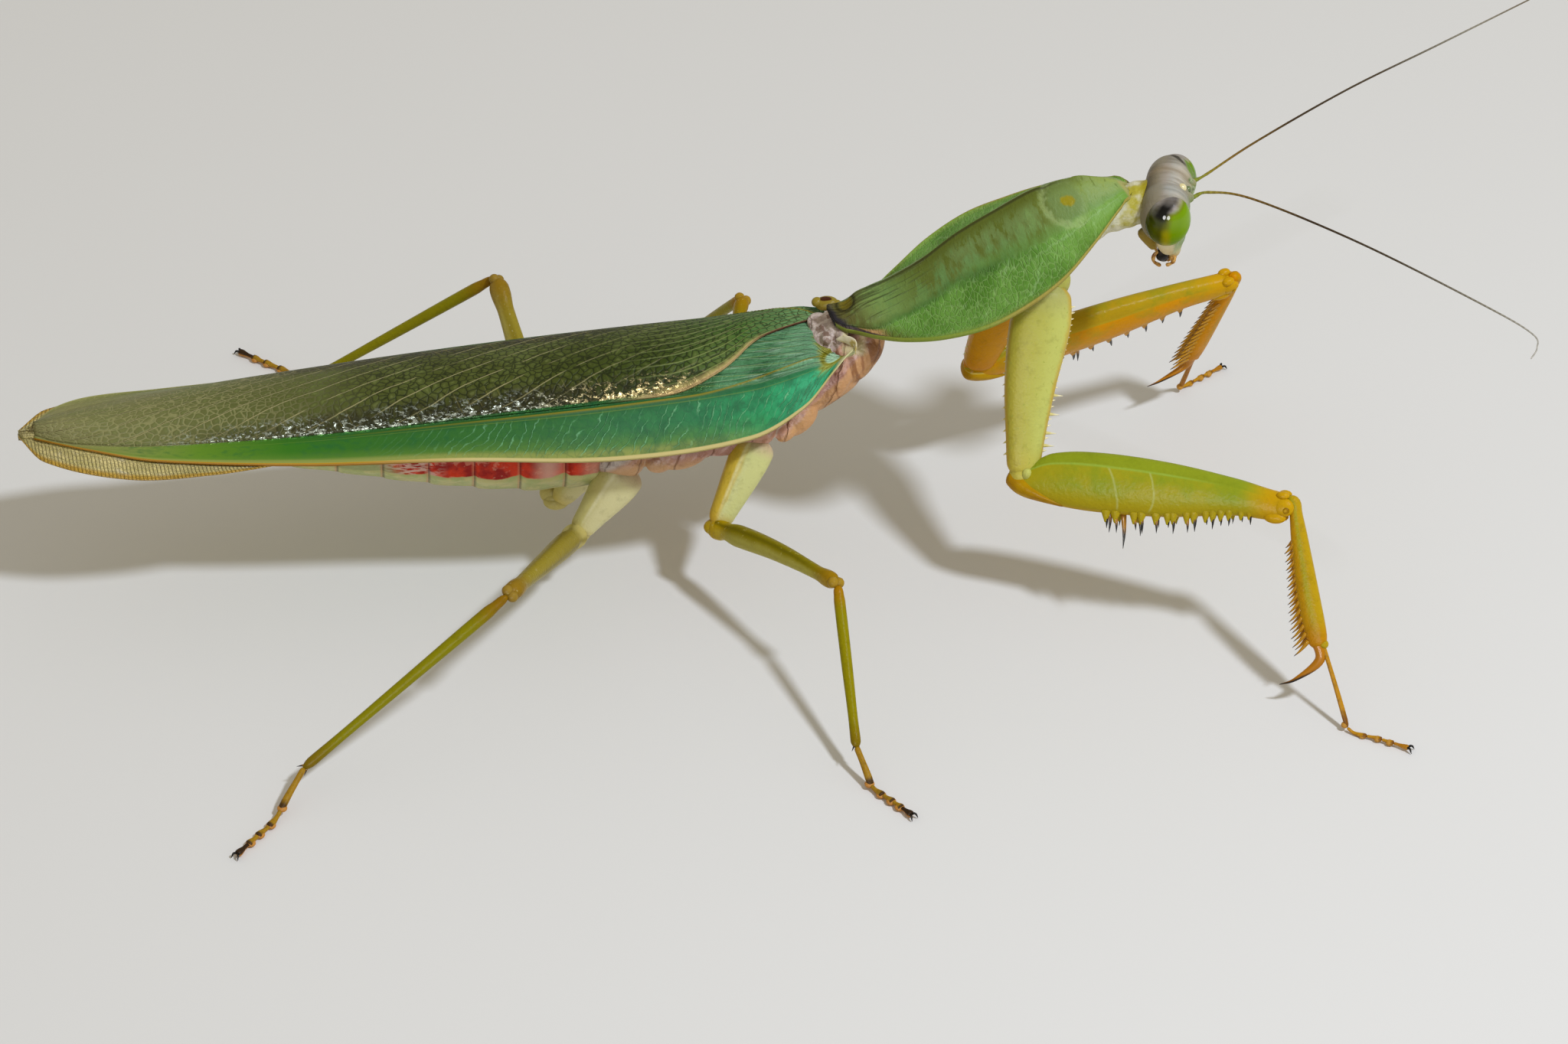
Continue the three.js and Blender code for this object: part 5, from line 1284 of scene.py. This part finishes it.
# Head: one skin over skull, face and sockets, then eyes, simple eyes, jaws and feelers
head = {
    "centre": (33.6, 0, 30.4), "yaw": -14, "pitch": 5,
    "eyeSpacing": 5.1, "eye": (1.68, 1.55, 2.17), "lean": 6,
    "eyeMiddle": (0.04, -0.17), "rimMiddle": (-0.16, -0.2), "voxel": 0.075, "smoothing": 6,
    "facePlates": [((1.15, 0, -1.2), (0.42, 1.1, 1.5)), ((1.1, 0, -3.0), (0.45, 0.8, 1.0)),
                   ((0.95, 0, -4.3), (0.42, 0.55, 0.7)), ((1.05, 0, 1.0), (0.45, 0.75, 0.45))],
    # simple eyes between the feelers, three of glass and a pale bead: middle, size, finish
    "simpleEyes": [((0.7, -1.0, 1.74), 0.34, 0), ((1.42, 0.2, 1.05), 0.22, 1), ((1.2, 0.76, 1.28), 0.25, 1),
                   ((1.16, -0.38, 1.3), 0.25, 1)],
}
headTurn = Matrix.Translation(head["centre"]) @ turned(head["yaw"], "Z") @ turned(head["pitch"], "Y")
headBack = headTurn.inverted()


def headSkin():
    shape = newShape()
    acrossBody = (0, 1, 0)
    limb(shape, [(-0.2, 0, 1.7), (-0.1, 0, 0), (0.25, 0, -2.6), (0.7, 0, -5.0)], acrossBody,
         [[0, 2.2, 1.3], [0.25, 2.8, 1.55], [0.45, 2.3, 1.45], [0.7, 1.4, 1.25], [0.9, 0.8, 0.8],
          [1, 0.6, 0.55]], 44, 50, cap=0.12)
    # crown between the eyes, as thick as they are where it meets them
    limb(shape, [(-0.16, -2.6, 0.1), (-0.26, -1.6, 0.55), (-0.4, 0, 0.8), (-0.26, 1.6, 0.55),
                 (-0.16, 2.6, 0.1)], (0, 0, 1),
         [[0, 1.95, 1.7], [0.2, 1.66, 1.74], [0.5, 1.38, 1.64], [0.8, 1.66, 1.74], [1, 1.95, 1.7]],
         40, 40, cap=0.12)
    # cheeks under the eyes and plates behind them
    for side in (1, -1):
        limb(shape, [(0.2, side * 2.2, -1.5), (0.25, side * 1.55, -2.9), (0.5, side * 0.75, -4.2)],
             (1, 0, 0), [[0, 1.1, 0.7], [0.5, 0.85, 0.6], [1, 0.5, 0.4]], 24, 24, cap=0.15)
        limb(shape, [(-1.2, side * 1.75, -1.85), (-1.45, side * 1.5, -2.4), (-0.6, side * 0.95, -4.0)],
             (1, 0, 0.2), [[0, 0.16, 0.24], [0.22, 0.55, 0.3], [0.6, 0.46, 0.28], [1, 0.26, 0.22]],
             20, 20, cap=0.08)
        ball(shape, (1.3, side * 0.95, 0.95), (0.42, 0.38, 0.4))
        # rim that holds the eye
        ball(shape, (head["rimMiddle"][0], side * 2.3, head["rimMiddle"][1]), (1.86, 1.15, 2.3),
             turned(-head["lean"] * side, "X"), 36, 24)
    for middle, sizes in head["facePlates"]:
        ball(shape, middle, sizes)
    for vert in shape.verts:
        vert.co = headTurn @ vert.co
    return fuse(shape, head["voxel"], head["smoothing"], lambda co: headBack @ co)


def headFinish():
    f = Finish("headCuticle", roughness=0.34, bodyLight=0.1, specular=0.08)
    x, y, z = f.local()
    far = y.size()
    soft = f.noise(0.8, 3) - 0.5
    streaks = f.noise(1, 4, (x * 0.4, y * 2.4, z * 0.4))
    slit = f.band(x + y + soft * 0.2, 2.38, 0.46) * f.band(y, 2.45, 1.2) * f.rise(z, 1.2, 1.6)
    leaf = f.rise(x + (y - 1.7) * 0.3 + (z - 1.5) * 0.5 + soft * 0.15, 0.88, 1.1) * f.rise(y, 1.15, 1.6)
    # crown: grey, with painted shade darkening the back and a painted highlight paling the front
    crown = f.over(
        f.ramp((x + 1.8) / 3 + soft * 0.1, (0, "5f5540"), (0.2, "887e68"), (0.4, "a0968a"),
            (0.57, "b0aca2"), (0.76, "bcb4a6"), (0.95, "b0a890")), ((streaks, 0.4, 0.68), 0.5, "6a6250"),
        (f.band(y, -1.9, 0.8), 0.45, "8f9490"), (f.band(y, 0.6, 0.8), 0.3, "a08a68"),
        ((y, 1, 2), 0.6, "706a5a"), ((slit, 0.05, 0.7), 0.85, "2a241a"), (leaf, 0.92, "5f8408"))
    face = f.over(f.blend(f.rise(z, -4.8, -3.2), "d4c498", "74905c"), ((far, 0.2, 1), 0.4, "b8ba88"))
    cheek = f.over(f.blend(f.rise(z, -2.6, -4.2), "e0d0a4", "c8aa68"), ((soft, -0.1, 0.15), 0.4, "dcd2b0"))
    rear = f.blend(f.rise(z + soft, -0.8, -3), "6f6a48", "937a28")
    rim = f.band((x + 0.1) * (x + 0.1) / 3.4 + (z + 0.2) * (z + 0.2) / 5.3, 1, 0.16)
    behind = f.rise(x, -0.4, -1) * f.rise(far, 1.2, 1.8) * f.rise(z, -2.4, -1)
    brow = f.rise(x, 0.85, 1.1) * f.band(z, 0.75, 0.85)
    colour = f.over(
        f.blend(f.rise(x + soft * 0.3, 0.65, 1), cheek, face),
        ((x + soft * 0.3 + z * 0.12, -0.6, -1), rear), ((z + soft * 0.3 - x * 0.2, 0, 0.6), crown),
        (rim, (far, 1.5, 1.9), (z, 0.2, -1), (x, -1.2, -0.4), 0.7, "d0c59c"), (behind, 0.85, "8c8470"),
        (brow, 0.75, "6e8438"))
    side = f.rise(x, 0.95, 1.2) * f.band(far, 1, 0.16) * f.rise(z, 0, -0.6)
    colour = f.over(colour, (side, 0.6, "4c683c"), ((z, -4.1, -4.9), 0.6, "b08a44"))
    return f.finished(colour, f.noise(4, 4) * 0.7 + f.noise(9, 2) * 0.3, 0.05)


def eyeFinish(name, near):
    f = Finish(name, roughness=0.16, coat=0.5, specular=0.03, coatRoughness=0.03)
    x, y, z = f.local()  # where on the unit ball, y outward
    soft = f.noise(0.9, 3) - 0.5
    fine = f.noise(3, 3) - 0.5
    streaks = f.noise(0.9, 4, (x * 0.7, y * 3.6, z * 3.6))
    amber = f.band(x + z * 0.1 + fine * 0.1, 0.02, 0.32) * f.rise(z, 0.25, -0.12)
    green = f.over(
        f.ramp(x * 0.5 + 0.5 + soft * 0.06, (0, "303a0a"), (0.1, "414b0a"), (0.26, "565e02"),
            (0.38, "565602"), (0.5, "747a02"), (0.62, "749402"), (0.78, "6e9002"), (0.9, "749804")),
        ((fine + soft, -0.1, 0.3), (x, 0.1, -0.2), 0.4, "3c4200"), (amber, 0.9, "a09604"))
    edge = z - x * 0.35 + soft * 0.16
    grey = f.over(
        f.blend(f.rise(streaks, 0.3, 0.7), "7c7264", "a49c96"), ((fine + soft, -0.1, 0.4), 0.4, "aca49c"),
        ((x, 0.2, 0.6), 0.7, "989650"))
    colour = f.over(f.blend(f.rise(edge, 0.56, 0.76), green, grey), (f.band(edge, 0.6, 0.1), 0.4, "6f641c"))
    if near:  # a dark comma that leans to the front over the top
        lean = x + 0.36 - (z - 0.4) * (z - 0.4) * 1.3 + soft * 0.3
        comma = f.rise(lean.size(), 0.42, 0.12) * f.rise(z, 0.3, 0.52) * (1 - f.rise(z, 0.8, 1) * 0.45)
        smoky = f.rise(f.disc(x + 0.5, z - 0.42, 0.6, 0.4) + soft * 0.5, 1.2, 0.3)
        colour = f.over(colour, (smoky, 0.7, "2c340c"), (comma, 0.97, "060503"))
    else:
        slit = f.band(z + x * 0.4, 0.945, 0.045) * f.band(x, 0.15, 0.26)
        colour = f.over(
            colour, ((slit, 0.1, 0.6), 0.85, "1c1812"), ((x, 0.42, 0.62), (z, 0.9, 0.6), 0.8, "5f8410"))
    f.feed("Coat Weight", f.band(z, 0.4, 0.5) * 0.6)
    facets = f.cells(26, f.joined(x, y, z))
    return f.finished(colour, facets, 0.003)


setPiece("headSkin", headSkin(), ["head"], [headFinish()])
for title, side in (("Left", 1), ("Right", -1)):
    shape = newShape()
    middle = (head["eyeMiddle"][0], side * head["eyeSpacing"] / 2, head["eyeMiddle"][1])
    made = ball(shape, middle, head["eye"], turned(-head["lean"] * side, "X"), 96, 64, mark="unit")
    layer = shape.verts.layers.float_vector["local"]
    for vert in made:
        unit = Vector(vert[layer])
        vert[layer] = (unit.x, unit.y * side, unit.z)
        vert.co = headTurn @ vert.co
    setPiece("eye" + title, shape, ["eye_" + title.lower()],
             [eyeFinish("eyeSurface" + title, side < 0)])


def plainFinish(name, code, second, roughness=0.2, coat=0.5):
    f = Finish(name, roughness=roughness, coat=coat)
    return f.finished(f.blend(f.rise(f.noise(3, 3), 0.4, 0.65), code, second), f.noise(6, 3), 0.03)


shape = newShape()
for middle, size, finish in head["simpleEyes"]:
    ball(shape, headTurn @ Vector(middle), (size, size, size), around=24, along=16, finish=finish)
setPiece("simpleEyes", shape, [],
         [plainFinish("creamGlass", "d8c88c", "e4d8a8"), plainFinish("clearGlass", "6c7a50", "98a078")])

# Jaws and palps
jaws = {
    "jaw": [(0.2, 0.6, -4.1), (0.1, 0.56, -4.8), (0.35, 0.15, -5.4)],
    "jawStations": [[0, 0.5, 0.32], [0.5, 0.5, 0.3], [1, 0.25, 0.16]],
    "palps": [[(0.3, 0.5, -4.1), (-0.45, 0.8, -4.5), (-0.5, 0.8, -5.2), (0.1, 0.65, -5.65)],
              [(0.7, 0.35, -4.5), (1.0, 0.42, -4.9), (0.85, 0.4, -5.4), (0.45, 0.3, -5.75)]],
    "palpStations": [[0, 0.16], [0.3, 0.12], [0.55, 0.16], [0.7, 0.11], [0.92, 0.15], [1, 0.1]],
    "lips": [((0.8, 0, -4.95), (0.34, 0.5, 0.45)), ((0.2, 0, -4.9), (0.45, 0.48, 0.45))],
}


def inHead(points, side):
    return [headTurn @ Vector((x, y * side, z)) for x, y, z in points]


shape = newShape()
for side in (1, -1):
    limb(shape, inHead(jaws["jaw"], side), (1, 0, 0), jaws["jawStations"], 20, 18, cap=0.1)
    for palp in jaws["palps"]:
        limb(shape, inHead(palp, side), (0, 1, 0), jaws["palpStations"], 14, 30, cap=0.06, finish=1)
for middle, sizes in jaws["lips"]:
    ball(shape, headTurn @ Vector(middle), sizes, around=24, along=16, finish=1)
setPiece("jawsAndPalps", shape, ["mouthparts"],
         [plainFinish("jawBlack", "0a0705", "2a1c12", 0.3, 0.2),
          plainFinish("palpTan", "d8a85c", "9a6420", 0.35, 0.1)])

# Feelers: thick first joint, then a whip of many small rings
feelers = {
    "left": [(35.2, 1.05, 31.1), (36.4, 1.9, 31), (41, 6.2, 30.9), (49.2, 13, 30.7), (57.4, 18.8, 30.6),
             (67.2, 25.0, 31.1)],
    "right": [(35.0, -1.0, 31.05), (36.3, -0.8, 31.3), (39.5, -2.1, 31.3), (46.4, -7.8, 30.8),
              (54.1, -15, 29.8), (56.9, -18, 29.3), (57.1, -18.9, 28.7), (56.6, -19.4, 28.1)],
    "stations": [[0, 0.17], [0.015, 0.15], [0.028, 0.1], [0.045, 0.11], [0.07, 0.092], [0.4, 0.08],
                 [0.8, 0.07], [1, 0.055]],
    "rings": 460,
}


def feelerFinish(name, tip):
    f = Finish(name, roughness=0.42)
    share = f.local()[0]
    rings = f.sum("SINE", share * feelers["rings"])
    colour = f.over(
        f.ramp(share, (0, "7c8a30"), (0.05, "8a7a24"), (0.12, "7a5c20"), (0.3, "3c2c18"),
            (0.55, "4a3e2c"), (0.8, "8a8474"), (1, tip)), ((rings, 0.4, 1), 0.2, "2c2014"))
    return f.finished(colour, rings, 0.02)


for side in ("left", "right"):
    shape = newShape()
    limb(shape, feelers[side], (0, 0, 1), feelers["stations"], 12, 220, cap=0.004,
         form=lambda share, angle: 1 + 0.02 * math.sin(share * feelers["rings"]))
    setPiece("feeler" + side.capitalize(), shape, ["antenna_" + side],
             [feelerFinish("feeler" + side.capitalize() + "Rings",
                           "b8b4aa" if side == "right" else "6a5a44")])
print("head made")


# Tail feelers
tail = {"course": [(-33.6, 1.7, 12.9), (-36, 1.95, 13.1), (-38.2, 2, 13.4)],
        "stations": [[0, 0.4], [0.5, 0.36], [1, 0.12]], "rings": 75}
for name, side in (("left", 1), ("right", -1)):
    shape = newShape()
    limb(shape, [(x, side * y, z) for x, y, z in tail["course"]], (0, 1, 0), tail["stations"], 16, 60,
         cap=0.04, form=lambda share, angle: 1 + 0.07 * math.sin(share * tail["rings"]))
    setPiece("cercus" + name.capitalize(), shape, ["cercus_" + name], [walkLooks["hind"]["femur"]])

# Stage: pale floor, a soft key light from the front right, and an even sky
stage = {
    "floor": "dfdedc", "grain": "d8d7d4", "floorSize": 1.5, "lampTarget": (4, -5, 8),
    "key": (196, -196, 397), "keySize": 0.045, "keyPower": 1.54, "keyTint": (0.83, 0.89, 1.0),
    "glints": [(-27, -302, 65), (-134, -271, 65)], "glintSize": 0.082, "glintPower": 0.48,
    "sky": 0.48, "skyTint": (1.0, 0.93, 0.78, 1.0),
    "camera": (-23.9, -303.4, 236.0), "target": (4.04, -9.84, 10.0), "lens": 114.98, "sensor": 36.0,
}


def toPlace(point):
    return toFrame @ Vector(point)


def aim(made, target):
    made.rotation_euler = (toPlace(target) - made.location).to_track_quat("-Z", "Y").to_euler()
    bpy.context.collection.objects.link(made)


shape = bmesh.new()
bmesh.ops.create_grid(shape, x_segments=1, y_segments=1, size=stage["floorSize"])
mesh = bpy.data.meshes.new("floor")
shape.to_mesh(mesh)
shape.free()
floor = bpy.data.objects.new("floor", mesh)
bpy.context.collection.objects.link(floor)
floorFinish = Finish("floorPaper", roughness=0.85, specular=0.1)
grainy = floorFinish.noise(0.3, 3, floorFinish.place(100.0))
paper = floorFinish.blend(grainy * 0.15, stage["floor"], stage["grain"])
mesh.materials.append(floorFinish.finished(paper))
floor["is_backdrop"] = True


def lamp(name, place, size, power, tint=(1, 1, 1)):
    made = bpy.data.objects.new(name, bpy.data.lights.new(name, "AREA"))
    made.data.shape = "DISK"
    made.data.size = size
    made.data.energy = power
    made.data.color = tint
    made.location = toPlace(place)
    aim(made, stage["lampTarget"])
    return made


lamp("key", stage["key"], stage["keySize"], stage["keyPower"], stage["keyTint"])
for place in stage["glints"]:
    lamp("glint", place, stage["glintSize"], stage["glintPower"]).visible_diffuse = False  # only for shine

world = bpy.data.worlds.new("sky")
world.use_nodes = True
for index, value in enumerate((stage["skyTint"], stage["sky"])):
    world.node_tree.nodes["Background"].inputs[index].default_value = value
bpy.context.scene.world = world

camera = bpy.data.objects.new("camera", bpy.data.cameras.new("camera"))
camera.data.lens = stage["lens"]
camera.data.sensor_width = stage["sensor"]
camera.data.clip_start = 0.01
camera.location = toPlace(stage["camera"])
aim(camera, stage["target"])
bpy.context.scene.camera = camera
bpy.context.scene.view_settings.view_transform = "Standard"

sizes = {"cad": [list(map(float, corner)) for corner in cadBounds],
         "visual": [list(map(float, corner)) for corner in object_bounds()]}
print("stage set")
